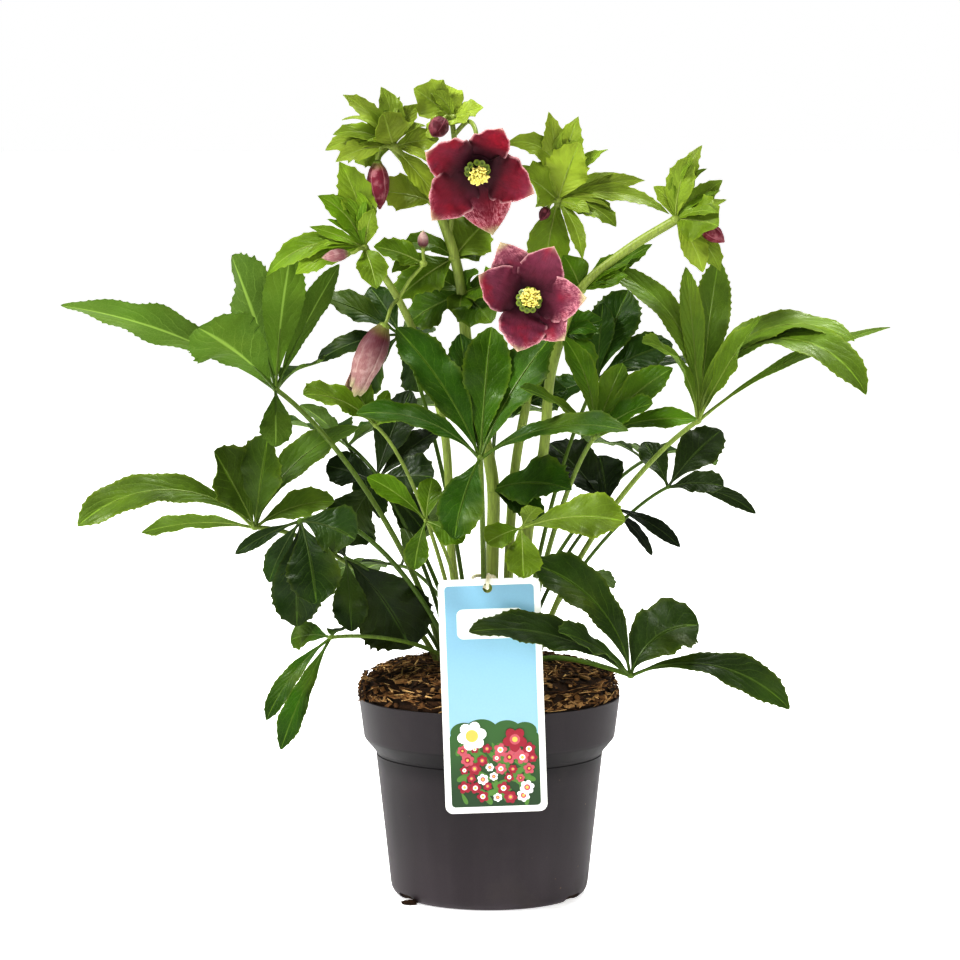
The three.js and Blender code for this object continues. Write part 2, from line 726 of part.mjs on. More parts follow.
// Blades that spread from one meeting point, each starting a little way out from it.
function bladesAbout(hub, face, blades, shape) {
  return blades.map(([x, y, z, width, bend]) => {
    const reach = new THREE.Vector3(x, y, z);
    const start = reach.clone().setLength(FOOT_SETBACK);
    const foot = vector(hub).add(start);
    return blade({ foot, reach: reach.sub(start), face: vector(face), width, bend, shape });
  });
}

function leaf(details) {
  const { hub, stalk, face, leaflets } = details;
  const stem = bar(stalkPoints(details), [stalk, stalk * STALK_TAPER], STALK_SIDES);
  return join([stem, ...bladesAbout(hub, face, leaflets, LEAFLET)]);
}

// ---------------------------------------------------------------------------------------------
// Flowering stems
// ---------------------------------------------------------------------------------------------

// Where a twig ends under the bud or flower that it carries, and the way it goes there.
function seatOf(name) {
  const bud = BUDS[name];
  if (bud) return { seat: vector(bud.base), axis: vector(bud.axis).normalize() };
  const axis = vector(FLOWERS[name].axis).normalize();
  return { seat: vector(FLOWERS[name].centre).addScaledVector(axis, -RECEPTACLE.back), axis };
}

function twigPoints({ path, carries }) {
  const points = path.map(vector);
  if (!carries) return points;
  const { seat, axis } = seatOf(carries);
  const back = (distance) => seat.clone().addScaledVector(axis, -distance);
  return [...points, back(TWIG_SEAT), back(CLEARANCE)];
}

function branch(points, radii, steps) {
  const curve = new THREE.CatmullRomCurve3(points, false, "centripetal");
  return bar(curve.getPoints(steps * (points.length - 1)), radii, STEM_SIDES);
}

function bractCluster({ hub, face, bracts }) {
  return join(bladesAbout(hub, face, bracts, BRACT));
}

function floweringStem({ root, path, radii, twigs, clusters }) {
  const [bottom, ground] = footInSoil(root);
  return join([
    branch([bottom, ground, ...path.map(vector)], radii, 2),
    ...twigs.map((twig) => branch(twigPoints(twig), twig.radii, 1)),
    ...clusters.map(bractCluster),
  ]);
}

// ---------------------------------------------------------------------------------------------
// Buds and flowers
// ---------------------------------------------------------------------------------------------

// A closed bud: plump, with its folded sepals showing as lobes, and drawn in to its tip.
const BUD_PROFILE = [[0, 0.34], [0.12, 0.74], [0.34, 1], [0.62, 0.93], [0.87, 0.48], [1, 0.08]];

function bud({ base, axis, length, width }) {
  const along = vector(axis).normalize();
  const across = squareTo(along, new THREE.Vector3(1, 0, 0));
  const up = along.clone().cross(across);
  const rings = BUD_PROFILE.map(([share, girth], ring) =>
    [...Array(BUD_SIDES).keys()].map((side) => {
      const angle = (2 * Math.PI * side) / BUD_SIDES;
      const lobe = (ring + 1 < BUD_PROFILE.length ? BUD_LOBES : 0) * (side % 2 ? -1 : 1);
      const radius = (width / 2) * girth * (1 + lobe);
      return vector(base)
        .addScaledVector(along, share * length)
        .addScaledVector(across, radius * Math.cos(angle))
        .addScaledVector(up, radius * Math.sin(angle));
    }),
  );
  return skin(rings);
}

// A flower's own directions: out along its axis, up and to the right across its face.
function flowerFrame({ centre, axis }) {
  const out = vector(axis).normalize();
  const up = squareTo(out, new THREE.Vector3(0, 0, 1));
  const right = up.clone().cross(out);
  const place = (x, y, height) =>
    vector(centre).addScaledVector(right, x).addScaledVector(up, y).addScaledVector(out, height);
  return { out, up, right, place };
}

function ringAt(place, radius, height, sides) {
  return [...Array(sides).keys()].map((side) => {
    const angle = (2 * Math.PI * side) / sides;
    return place(radius * Math.cos(angle), radius * Math.sin(angle), height);
  });
}

// The cup of sepals and the small receptacle that they grow from.
function sepalCup(flower) {
  const { out, up, right, place } = flowerFrame(flower);
  const sepals = flower.sepals.map(([angle, length, width, behind]) => {
    const [cos, sin] = [Math.cos(radians(angle)), Math.sin(radians(angle))];
    const slope = radians(CUP_SLOPE + CUP_BEND / 2);
    const sideways = right.clone().multiplyScalar(cos).addScaledVector(up, sin);
    const reach = sideways.multiplyScalar(Math.cos(slope)).addScaledVector(out, Math.sin(slope));
    return blade({
      foot: place(SEPAL_FOOT_RADIUS * cos, SEPAL_FOOT_RADIUS * sin, behind ? -BACK_SEPAL_OFFSET : 0),
      reach: reach.multiplyScalar(length),
      lift: out.clone().negate(),
      face: out.clone().negate(),
      width,
      bend: CUP_BEND,
      shape: SEPAL,
      thickness: SEPAL_THICKNESS,
      fold: -SEPAL_FOLD,
    });
  });
  const { radius, back, backTaper, front, frontTaper } = RECEPTACLE;
  const receptacle = skin([
    ringAt(place, backTaper * radius, -back, STEM_SIDES),
    ringAt(place, radius, 0, STEM_SIDES),
    ringAt(place, frontTaper * radius, front, STEM_SIDES),
  ]);
  return join([receptacle, ...sepals]);
}

// The ring of tubular nectaries round the stamens, each one a lobe of the ring.
function nectaryRing(flower) {
  const { place } = flowerFrame(flower);
  const { count, inner, outer, foot, footHeight, height } = NECTARIES;
  const floor = RECEPTACLE.front + CLEARANCE;
  const steps = 2 * count;
  const points = [...Array(steps).keys()].flatMap((step) => {
    const angle = (2 * Math.PI * step) / steps;
    const mouth = step % 2 ? NECTARY_NOTCH * outer : outer;
    const profile = [
      [inner, floor],
      [foot, floor + footHeight],
      [mouth, floor + NECTARY_LIP.drop * height],
      [inner + NECTARY_LIP.width, floor + height],
    ];
    return profile.map(([radius, level]) => place(radius * Math.cos(angle), radius * Math.sin(angle), level));
  });
  const faces = [...Array(steps).keys()].flatMap((step) => {
    const [here, next] = [4 * step, 4 * ((step + 1) % steps)];
    return [0, 1, 2, 3].map((i) => [here + i, next + i, next + ((i + 1) % 4), here + ((i + 1) % 4)]);
  });
  return solid(points, faces);
}

// The tuft of stamens: a short core, and filaments spread over it by the golden angle.
function stamenTuft(flower) {
  const { place } = flowerFrame(flower);
  const floor = RECEPTACLE.front + CLEARANCE;
  const core = skin([
    ringAt(place, STAMENS.core, floor, STEM_SIDES),
    ringAt(place, STAMENS.coreTaper * STAMENS.core, STAMENS.coreTop, STEM_SIDES),
  ]);
  const filaments = [...Array(STAMENS.count).keys()].map((i) => {
    const share = Math.sqrt((i + 0.5) / STAMENS.count);
    const angle = i * radians(GOLDEN_ANGLE);
    const [x, y] = [share * Math.cos(angle), share * Math.sin(angle)];
    const foot = place(STAMENS.footSpread * x, STAMENS.footSpread * y, STAMENS.foot);
    const end = place(STAMENS.spread * x, STAMENS.spread * y, STAMENS.reach - STAMENS.dip * share ** 2);
    return bar([foot, end], [STAMENS.radius, STAMENS.radius], 3);
  });
  return join([core, ...filaments]);
}

// ---------------------------------------------------------------------------------------------
// Pot and compost
// ---------------------------------------------------------------------------------------------

const RIM_FOOT_HEIGHT = POT_HEIGHT - POT_RIM_BAND;
const WALL_TOP_HEIGHT = RIM_FOOT_HEIGHT - POT_SHOULDER;

// The pot's outside from the corner of its base up to its lip, as radius and height.
const POT_OUTSIDE = [
  [POT_BASE_RADIUS - POT_CORNER, 0],
  [POT_BASE_RADIUS - 0.3 * POT_CORNER, 0.3 * POT_CORNER],
  [POT_BASE_RADIUS, POT_CORNER],
  [POT_WALL_TOP_RADIUS, WALL_TOP_HEIGHT],
  [POT_RIM_FOOT_RADIUS, RIM_FOOT_HEIGHT],
  [POT_RIM_RADIUS, POT_HEIGHT],
];
const POT_INSIDE = POT_OUTSIDE.map(([radius, height], i) => [
  radius - POT_WALL,
  i + 1 < POT_OUTSIDE.length ? Math.max(height, POT_WALL) : height,
]);

function drainNotch(degrees) {
  const { width, height, inner, outer } = DRAIN_NOTCH;
  const notch = new THREE.BoxGeometry(outer - inner, width, 2 * height);
  notch.translate((inner + outer) / 2, 0, 0);
  notch.rotateZ(radians(degrees));
  return geometrySolid(notch);
}

function pot() {
  const profile = [[0, 0], ...POT_OUTSIDE, ...POT_INSIDE.toReversed(), [0, POT_WALL]];
  const rings = profile.map(([radius, height]) => new THREE.Vector2(radius, height));
  const shell = geometrySolid(new THREE.LatheGeometry(rings, POT_SEGMENTS).rotateX(Math.PI / 2));
  return DRAIN_NOTCHES.reduce((whole, degrees) => whole.subtract(drainNotch(degrees)), shell);
}

// A number from 0 to 1 that looks random and is always the same for the same place.
const chance = (a, b) => Math.abs(Math.sin(12.9898 * a + 78.233 * b) * 43758.5453) % 1;

function soilHeight(radius) {
  const share = Math.max(0, (radius - CROWN_RADIUS) / (POT_RIM_RADIUS - CROWN_RADIUS));
  return THREE.MathUtils.lerp(SOIL_CENTRE_HEIGHT, SOIL_EDGE_HEIGHT, share ** 3);
}

function soilMound() {
  const ease = CLEARANCE + POT_RIM_RADIUS * (1 - Math.cos(Math.PI / POT_SEGMENTS));
  const sides = POT_INSIDE.slice(0, -1).map(([radius, height]) => [radius - ease, height + CLEARANCE]);
  const edge = sides.at(-1)[0];
  const ringOf = (radius, heightAt) =>
    [...Array(SOIL_SEGMENTS).keys()].map((side) => {
      const angle = (2 * Math.PI * side) / SOIL_SEGMENTS;
      return new THREE.Vector3(radius * Math.cos(angle), radius * Math.sin(angle), heightAt(side));
    });
  const rings = sides.map(([radius, height]) => ringOf(radius, () => height));
  for (let i = 0; i < SOIL_RINGS; i++) {
    const radius = edge * (1 - i / SOIL_RINGS);
    const level = (side) => soilHeight(radius) + (i ? SOIL_CHIP * (2 * chance(i, side) - 1) : 0);
    rings.push(ringOf(radius, level));
  }
  return skin(rings);
}

function soil() {
  const stalks = Object.values(LEAVES).map(({ root, stalk }) => ({ root, radius: stalk }));
  const stems = Object.values(STEMS).map(({ root, radii }) => ({ root, radius: radii[0] }));
  const holes = [...stalks, ...stems].map(({ root: [x, y], radius }) => {
    const ends = [SOIL_CENTRE_HEIGHT - HOLE_DEPTH, SOIL_CENTRE_HEIGHT + HOLE_DEPTH];
    const wide = (radius + HOLE_GAP) / Math.cos(Math.PI / HOLE_SIDES);
    return bar(ends.map((z) => new THREE.Vector3(x, y, z)), [wide, wide], HOLE_SIDES);
  });
  return holes.reduce((mound, hole) => mound.subtract(hole), soilMound());
}

// ---------------------------------------------------------------------------------------------
// Label
// ---------------------------------------------------------------------------------------------

function labelCard() {
  const [x, y, r] = [LABEL_WIDTH / 2, LABEL_HEIGHT / 2, LABEL_CORNER];
  const outline = new THREE.Shape();
  outline.moveTo(-x + r, -y).lineTo(x - r, -y).absarc(x - r, -y + r, r, -Math.PI / 2, 0);
  outline.lineTo(x, y - r).absarc(x - r, y - r, r, 0, Math.PI / 2);
  outline.lineTo(-x + r, y).absarc(-x + r, y - r, r, Math.PI / 2, Math.PI);
  outline.lineTo(-x, -y + r).absarc(-x + r, -y + r, r, Math.PI, 1.5 * Math.PI);
  const { radius, belowTop, left } = LABEL_HOLE;
  outline.holes.push(new THREE.Path().absarc(-left, y - belowTop, radius, 0, 2 * Math.PI, true));
  const card = { depth: LABEL_THICKNESS, bevelEnabled: false, curveSegments: LABEL_CORNER_STEPS };
  return new THREE.ExtrudeGeometry(outline, card);
}

// The strap is a closed loop, so its last ring joins its first.
function strap() {
  const curve = new THREE.CatmullRomCurve3(STRAP_ROUTE.map(vector), true, "centripetal");
  const points = curve.getPoints(STRAP_STEPS).slice(0, -1);
  const { normals, binormals } = curve.computeFrenetFrames(STRAP_STEPS, true);
  const corners = points.flatMap((point, i) =>
    [...Array(STRAP_SIDES).keys()].map((side) => {
      const angle = (2 * Math.PI * side) / STRAP_SIDES;
      return point
        .clone()
        .addScaledVector(normals[i], STRAP_RADIUS * Math.cos(angle))
        .addScaledVector(binormals[i], STRAP_RADIUS * Math.sin(angle));
    }),
  );
  const faces = points.flatMap((_, i) =>
    [...Array(STRAP_SIDES).keys()].map((side) => {
      const [here, ahead] = [i * STRAP_SIDES, ((i + 1) % points.length) * STRAP_SIDES];
      const next = (side + 1) % STRAP_SIDES;
      return [here + side, here + next, ahead + next, ahead + side];
    }),
  );
  return solid(corners, faces);
}

// ---------------------------------------------------------------------------------------------
// The plant in its pot
// ---------------------------------------------------------------------------------------------

const group = new THREE.Group();

function addPiece(name, geometry, finish) {
  const mesh = new THREE.Mesh(geometry, finish);
  mesh.name = name;
  group.add(mesh);
  return mesh;
}

addPiece("pot", geometryOf(pot()), POT_PLASTIC);
addPiece("soil", geometryOf(soil()), BARK);

const card = addPiece("label", labelCard(), LABEL_CARD);
card.position.copy(LABEL_CENTRE);
card.rotation.set(Math.PI / 2, -radians(LABEL_TILT), 0, "YXZ");
addPiece("label_strap", geometryOf(strap()), STRAP_PLASTIC);

for (const [name, details] of Object.entries(LEAVES))
  addPiece(name, geometryOf(leaf(details)), name.includes("young") ? YOUNG_LEAF : OLD_LEAF);
for (const [name, details] of Object.entries(STEMS))
  addPiece(name, geometryOf(floweringStem(details)), GREEN_STEM);
for (const [name, details] of Object.entries(BUDS)) addPiece(name, geometryOf(bud(details)), BUD_PINK);
for (const [name, details] of Object.entries(FLOWERS)) {
  addPiece(`${name}_sepals`, geometryOf(sepalCup(details)), PLUM_SEPAL);
  addPiece(`${name}_nectaries`, geometryOf(nectaryRing(details)), GREEN_NECTARY);
  addPiece(`${name}_stamens`, geometryOf(stamenTuft(details)), YELLOW_STAMEN);
}

export default group;
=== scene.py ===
"""A hellebore in its nursery pot: leaves, flowering stems, flowers, buds, bark, pot and plant label."""

import math
import random
from collections import namedtuple

import bmesh
import bpy
from mathutils import Matrix, Vector, noise


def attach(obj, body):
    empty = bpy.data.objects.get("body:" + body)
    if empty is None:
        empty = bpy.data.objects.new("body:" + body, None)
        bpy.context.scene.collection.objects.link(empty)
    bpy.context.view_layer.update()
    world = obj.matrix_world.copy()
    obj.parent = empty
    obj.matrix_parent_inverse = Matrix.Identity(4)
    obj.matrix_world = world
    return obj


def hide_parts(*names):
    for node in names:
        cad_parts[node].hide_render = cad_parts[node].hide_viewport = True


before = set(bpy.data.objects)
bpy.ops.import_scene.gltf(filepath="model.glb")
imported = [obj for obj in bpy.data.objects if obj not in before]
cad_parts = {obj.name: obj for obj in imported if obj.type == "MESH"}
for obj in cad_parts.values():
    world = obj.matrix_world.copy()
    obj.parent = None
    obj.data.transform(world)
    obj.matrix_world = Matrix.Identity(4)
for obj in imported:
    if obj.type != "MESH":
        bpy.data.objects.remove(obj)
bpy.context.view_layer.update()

MM = 0.001
UP = Vector((0, 0, 1))
ASIDE = Vector((1, 0, 0))
BMVert = bmesh.types.BMVert

# ---------------------------------------------------------------------------------------------
# Sizes, in millimetres
# ---------------------------------------------------------------------------------------------

POT_OUTSIDE = ((54, 0), (63.5, 0), (74, 95), (81.6, 104), (85, 131))  # radius and height of its corners
POT_ROUNDING = (8, 1.2, 1.8)  # of the three corners between the first and the last
POT_SEAM = ((73.75, 93.0), (73.3, 93.3), (73.35, 93.9), (73.85, 94.2))  # a fine groove under the shoulder
POT_LIP = ((85, 130.6), (84.6, 131.0), (83.9, 131.0), (83.4, 130.5))
POT_WALL = 1.6
SHOULDER_HEIGHT = 90
DRAIN_NOTCHES = (90, 210, 330)  # degrees round the base
NOTCH_REACH = (52, 72)  # from and to this far from the pot's axis
NOTCH_WIDTH = 17
NOTCH_HEIGHT = 5
NOTCH_CORNER = 2

RIM_RADIUS = 85
SOIL_SIDE = (
    (52, 2), (61, 2.4), (63, 9), (71.9, 94), (79.6, 103), (82.9, 130), (82.9, 132.5), (82.4, 135),
    (81.2, 137.3),
)
SOIL_TOP_RADIUS = 79.4
SOIL_TOP_RINGS = 26
SOIL_EDGE_HEIGHT = 140
SOIL_CENTRE_HEIGHT = 150
CROWN_RADIUS = 40
HOLE_DEPTH = 12
ROUGH_FROM = 134  # the height from which the compost is rough
ROUGHNESS = 1.8  # how far its lumps stand out
CHIPS = 2400
Chip = namedtuple("Chip", "lengths widths tones")
FIBRE = Chip((6, 20), (0.5, 1.1), (0.3, 0.5, 0.65, 0.8, 0.95))
FLAKE = Chip((2.5, 8), (1.2, 3.4), (0.1, 0.3, 0.45, 0.6, 0.75))
CHIPS_WITHIN = 80
RIM_CHIP_RADII = (83.5, 79)  # from the rim up to the mound
RIM_CHIP_FOOT = 131.8
SPILL = 1.6  # how far the chips stand over the rim on the left
SPILL_ANGLE = 0.35  # radians to either side
CRUMB_PLACE = (-51, -41, 1.6)
CRUMB_LUMPS = (  # radius, shift and stretch of each
    (2.4, (0, 0, 0), (2.0, 1.0, 0.8)),
    (1.5, (3.4, 1.2, 0.9), (1.6, 1, 0.9)),
)

LABEL_SIZE = (64.5, 149)
LABEL_THICKNESS = 0.8
LABEL_CORNER = 5
LABEL_TILT = 2
LABEL_CENTRE = (1.9, -85.4, 143.6)
LABEL_HOLE_RADIUS = 3
LABEL_HOLE = (-1, 68.5, 0)  # from the card's centre
FIELD_SIZE = (56.1, 140.6)  # the coloured field inside the white border
FIELD_CORNER = 2.5
PANEL_SIZE = (42, 19)  # the blank white panel near the card's top
PANEL_HEIGHT = 46  # of its middle, over the card's centre
PANEL_CORNER = 4
PRINT_THICKNESS = 0.006
PRINT_STEP = 0.009  # how far one printed shape stands over another
STRAP_RADIUS = 1.1
STRAP_ROUTE = (
    (-1.5, -85.8, 212), (-1.5, -88.4, 212.8), (-1.3, -88.8, 216.6), (-0.9, -86.4, 220.4), (0.4, -82.6, 218.6),
    (2.6, -70, 214.4), (3.6, -50, 212.8), (1.6, -31, 212.6), (-4, -28.45, 212.8), (-9.3, -31, 212.6),
    (-10.5, -50, 212.4), (-7.5, -70, 212), (-2.2, -82.4, 212),
)

# Blade shapes: how slowly the width grows from the foot and shrinks to the tip, the size and spacing of
# the marginal teeth, the share of the length without teeth, the points across, and how far the blade
# waves and twists.
Blade = namedtuple("Blade", "rise fall tooth spacing bare across wave twist")
LEAFLET = Blade(1.8, 0.88, 0.13, 4.6, 0.2, 8, 0.16, 0.3)
BRACT = Blade(1.3, 1.15, 0.21, 6, 0.3, 8, 0.2, 0.45)
SEPAL = Blade(0.8, 1.1, 0.03, 1.6, 0.5, 14, 0.05, 0)
SAW = (0.0, 0.45, 1.0)  # how far the points of one tooth stand out, from its foot to its tip
SAW_MIDDLE = 0.35
BLADE_FOOT = 0.9
LEAF_THICKNESS = 0.5
SEPAL_THICKNESS = 0.9
FOOT_SETBACK = 0.3
BRACT_FACE = (0, -0.8, 0.6)
BRACT_TONES = (0.45, 1.0)  # of the lowest and the highest clusters of bracts
BRACT_HEIGHTS = (320, 480)  # of those clusters

CUP_SLOPE = 11
CUP_BEND = 22
BACK_SEPAL_OFFSET = 2.1
SEPAL_FOOT_RADIUS = 3.2
RECEPTACLE = ((-2.5, 2.76), (0, 4.6), (2.04, 4.6), (3.4, 3.45))  # height and radius
DISH = ((-1.4, 3), (-0.2, 6.4), (0.6, 9.1), (1.1, 8.9))
NECTARIES = 11
# The share of the length and the radius there.
NECTARY = ((0, 0.8), (0.3, 1.5), (0.65, 1.95), (0.98, 2.15), (1.0, 1.2), (0.93, 0.6))
NECTARY_FOOT = (4.4, 3.75)  # radius and height in the flower
NECTARY_MOUTH = (6.9, 7.1)
STAMENS = 150
STAMEN_RADII = (2.6, 3.4, 5.9)  # of the tuft's outer threads at their feet, bows and ends
STAMEN_HEIGHTS = (3.8, 8.4, 12.2)
STAMEN_RADIUS = 0.22
POLLEN_RADIUS = 0.74
GOLDEN_ANGLE = 137.5
STYLES = 4
STYLE_RADIUS = 0.36
BUD_SEPALS = 5
BUD_GIRTHS = ((0, 0.34), (0.12, 0.74), (0.34, 1), (0.62, 0.93), (0.87, 0.48), (1, 0.06))

# ---------------------------------------------------------------------------------------------
# The plant's pieces, in millimetres
# ---------------------------------------------------------------------------------------------

Leaf = namedtuple("Leaf", "root hub arch radius face tone leaflets")
Stem = namedtuple("Stem", "root path radii twigs clusters")
Bud = namedtuple("Bud", "base axis length width tone parting")
Flower = namedtuple("Flower", "centre axis dusk drift sepals")

# Each leaf: where its stalk leaves the crown (X, Y), where its leaflets meet (X, Y, Z), how far the
# stalk arches up as a share of its length, its radius, the way the upper side looks, and how bright a
# green it is, from 0, the oldest, to 1, the youngest.
# Each leaflet: its tip measured from the leaflets' meeting point (X, Y, Z), its width, and how many
# degrees it bends over from base to tip.
LEAVES = {
    "leaf_upper_left": Leaf((-30, -8), (-137, -20, 332), 0.03, 1.9, (0, 0.9, 0.8), 0.5, (
        (-132, -50, 57, 32, 28), (-45, -65, 44, 44, 20), (-30, 40, 84, 46, 15), (10, 5, 88, 26, 10),
        (40, 25, 79, 17, 12), (23, 60, 12, 28, 30), (1, -25, -35, 20, 25),
    )),
    "leaf_middle_left": Leaf((-34, 4), (-152, -5, 241), 0.12, 1.8, (0, -0.7, 0.8), 0.68, (
        (-110, -45, 6, 28, 89), (-24, -25, 52, 40, 10), (10, -20, 62, 32, 10), (-77, 40, -8, 18, 25),
        (67, 25, 63, 25, 60), (52, -8, 18, 22, 40),
    )),
    "leaf_crinkled_left": Leaf((-22, -20), (-120, -55, 251), 0.25, 1.7, (0, -1, 0.5), 0.22, (
        (11, -25, -50, 34, 30), (-3, 8, -69, 32, 15), (-21, 12, -41, 16, 20), (-41, -10, -20, 9, 20),
        (35, -15, -10, 32, 30),
    )),
    "leaf_drooping_left": Leaf((-22, -27), (-101, -60, 177), 0.08, 1.5, (-0.3, -0.9, 0.6), 0.45, (
        (-40, -20, -50, 13, 35), (-32, -2, -72, 17, 12), (-27, 30, -6, 18, 30), (6, 30, 2, 14, 20),
    )),
    "leaf_inner_left": Leaf((-29, -13), (-92, -30, 224), 0.05, 1.3, (0.1, -1, 0.15), 0.1, (
        (41, 8, -60, 48, 25), (4, -18, -45, 22, 15), (-12, 14, 14, 18, 20),
    )),
    "leaf_centre": Leaf((-3, -16), (-6, -75, 293), 0.1, 2.0, (0, -0.7, 0.8), 0.5, (
        (-53, 18, 81, 34, 25), (-13, 35, 76, 24, 10), (7, 25, 81, 30, 12), (46, 24, 76, 32, 25),
        (-77, -25, 30, 22, 55), (92, -30, 20, 22, 50), (-16, -38, -47, 28, 40),
    )),
    "leaf_centre_right": Leaf((24, -14), (66, -55, 304), 0.04, 1.8, (0, -0.7, 0.8), 0.6, (
        (36, -25, 24, 24, 30), (19, 15, 46, 18, 10), (50, 5, 44, 22, 25), (65, -5, 12, 14, 35),
        (-47, -38, 35, 16, 35), (-20, 12, 64, 16, 50),
    )),
    "leaf_upper_right": Leaf((31, -2), (134, -15, 311), 0.03, 1.9, (0.1, -0.6, 0.8), 0.76, (
        (97, -35, 54, 26, 120), (102, -62, 22, 28, 145), (124, 8, 60, 10, 30), (37, -45, 70, 28, 15),
        (-8, 5, 99, 15, 8), (15, 35, 103, 24, 8), (-58, 25, 96, 20, 85), (-38, -50, 54, 20, 80),
    )),
    "leaf_dark_right": Leaf((29, 11), (118, 45, 262), 0.05, 1.3, (0, -0.8, 0.7), 0.28, (
        (36, 20, 36, 28, 20), (36, -12, 2, 20, 30), (59, 12, -19, 10, 45), (-15, 22, 28, 18, 20),
    )),
    "leaf_dark_inner_right": Leaf((23, 19), (78, 35, 250), 0.05, 1.3, (0, -0.8, 0.7), 0.05, (
        (-5, 20, 32, 27, 15), (-38, 20, 40, 32, 20), (47, -14, -25, 10, 35), (30, 15, -34, 9, 30),
    )),
    "leaf_front_right": Leaf((25, -25), (89, -75, 155), 0.08, 1.8, (0, -0.6, 0.8), 0.36, (
        (44, 15, 30, 46, 85), (100, -10, -20, 24, 75), (-46, -45, 34, 26, 30), (-64, 12, 70, 34, 70),
        (-102, -50, 35, 30, 45),
    )),
    "leaf_young_front": Leaf((8, -23), (20, -95, 251), 0.1, 1.3, (0, -0.9, 0.7), 0.86, (
        (64, -15, 6, 30, 35), (1, -20, -29, 23, 20), (-22, -12, -8, 19, 25), (10, 30, 10, 14, 20),
    )),
    "leaf_middle_centre_left": Leaf((-26, 3), (-74, 0, 270), 0.05, 1.5, (0, -0.8, 0.7), 0.15, (
        (38, -15, 5, 29, 25), (-20, 8, -42, 38, 25), (42, 15, 33, 18, 25), (23, 20, 58, 26, 15),
        (32, 10, -34, 24, 20), (-32, 6, 10, 24, 20),
    )),
    "leaf_young_left": Leaf((-11, -25), (-40, -90, 255), 0.1, 1.3, (0, -0.8, 0.7), 0.76, (
        (-37, 5, 27, 15, 30), (23, -15, -12, 18, 25), (4, 10, 26, 15, 20), (-7, -8, -30, 15, 25),
    )),
    "leaf_young_upper_left": Leaf((-18, -12), (-72, -70, 313), 0.08, 1.4, (0, -0.8, 0.7), 0.8, (
        (-44, -27, 22, 25, 50), (8, 5, 22, 9, 10), (-17, 10, 28, 18, 15), (17, -5, 9, 9, 15),
    )),
    "leaf_high_left": Leaf((-12, 14), (-59, 45, 363), 0.04, 1.5, (-0.1, -0.7, 0.8), 0.35, (
        (-55, -5, 26, 25, 25), (-54, 5, -18, 18, 35), (-20, 20, 30, 20, 20), (20, 25, 5, 20, 25),
        (14, 22, -40, 28, 25), (-26, 14, -44, 26, 25),
    )),
    "leaf_high_right": Leaf((22, 9), (71, 45, 333), 0.03, 1.5, (0, -0.7, 0.8), 0.4, (
        (4, 10, 50, 18, 10), (21, 20, 58, 31, 15), (50, 5, 23, 25, 30), (80, 15, 12, 10, 25),
        (-20, 15, 30, 18, 20), (-37, 12, -16, 26, 25),
    )),
    "leaf_rear_right": Leaf((15, 27), (105, 95, 275), 0.06, 1.4, (0.2, 0.3, 0.9), 0.25, (
        (5, 70, -5, 26, 50), (50, 45, -8, 24, 50), (-40, 55, 6, 24, 40),
    )),
    "leaf_rear_left": Leaf((-20, 20), (-95, 95, 285), 0.06, 1.5, (-0.2, 0.3, 0.9), 0.3, (
        (-60, 35, 10, 26, 45), (-20, 80, 0, 28, 50), (35, 60, 15, 24, 40), (-30, -30, 30, 18, 20),
        (48, -28, 30, 28, 20), (22, -30, -46, 28, 20),
    )),
    "leaf_rear": Leaf((-3, 25), (5, 125, 300), 0.08, 1.5, (0, 0.4, 0.9), 0.2, (
        (-60, 30, 5, 26, 45), (-25, 80, -5, 28, 55), (35, 75, 0, 28, 50), (-34, -38, 22, 28, 20),
        (32, -40, 10, 28, 20),
    )),
    "leaf_low_rear_left": Leaf((-13, 30), (-60, 120, 200), 0.1, 1.4, (0, 0.2, 1), 0.12, (
        (-65, 20, -15, 24, 50), (-40, 60, -25, 26, 55), (26, -45, 50, 28, 20),
    )),
    "leaf_low_rear_right": Leaf((8, 32), (38, 125, 195), 0.1, 1.4, (0, 0.2, 1), 0.1, (
        (48, 30, -15, 24, 50), (40, 65, -25, 26, 55),
    )),
}

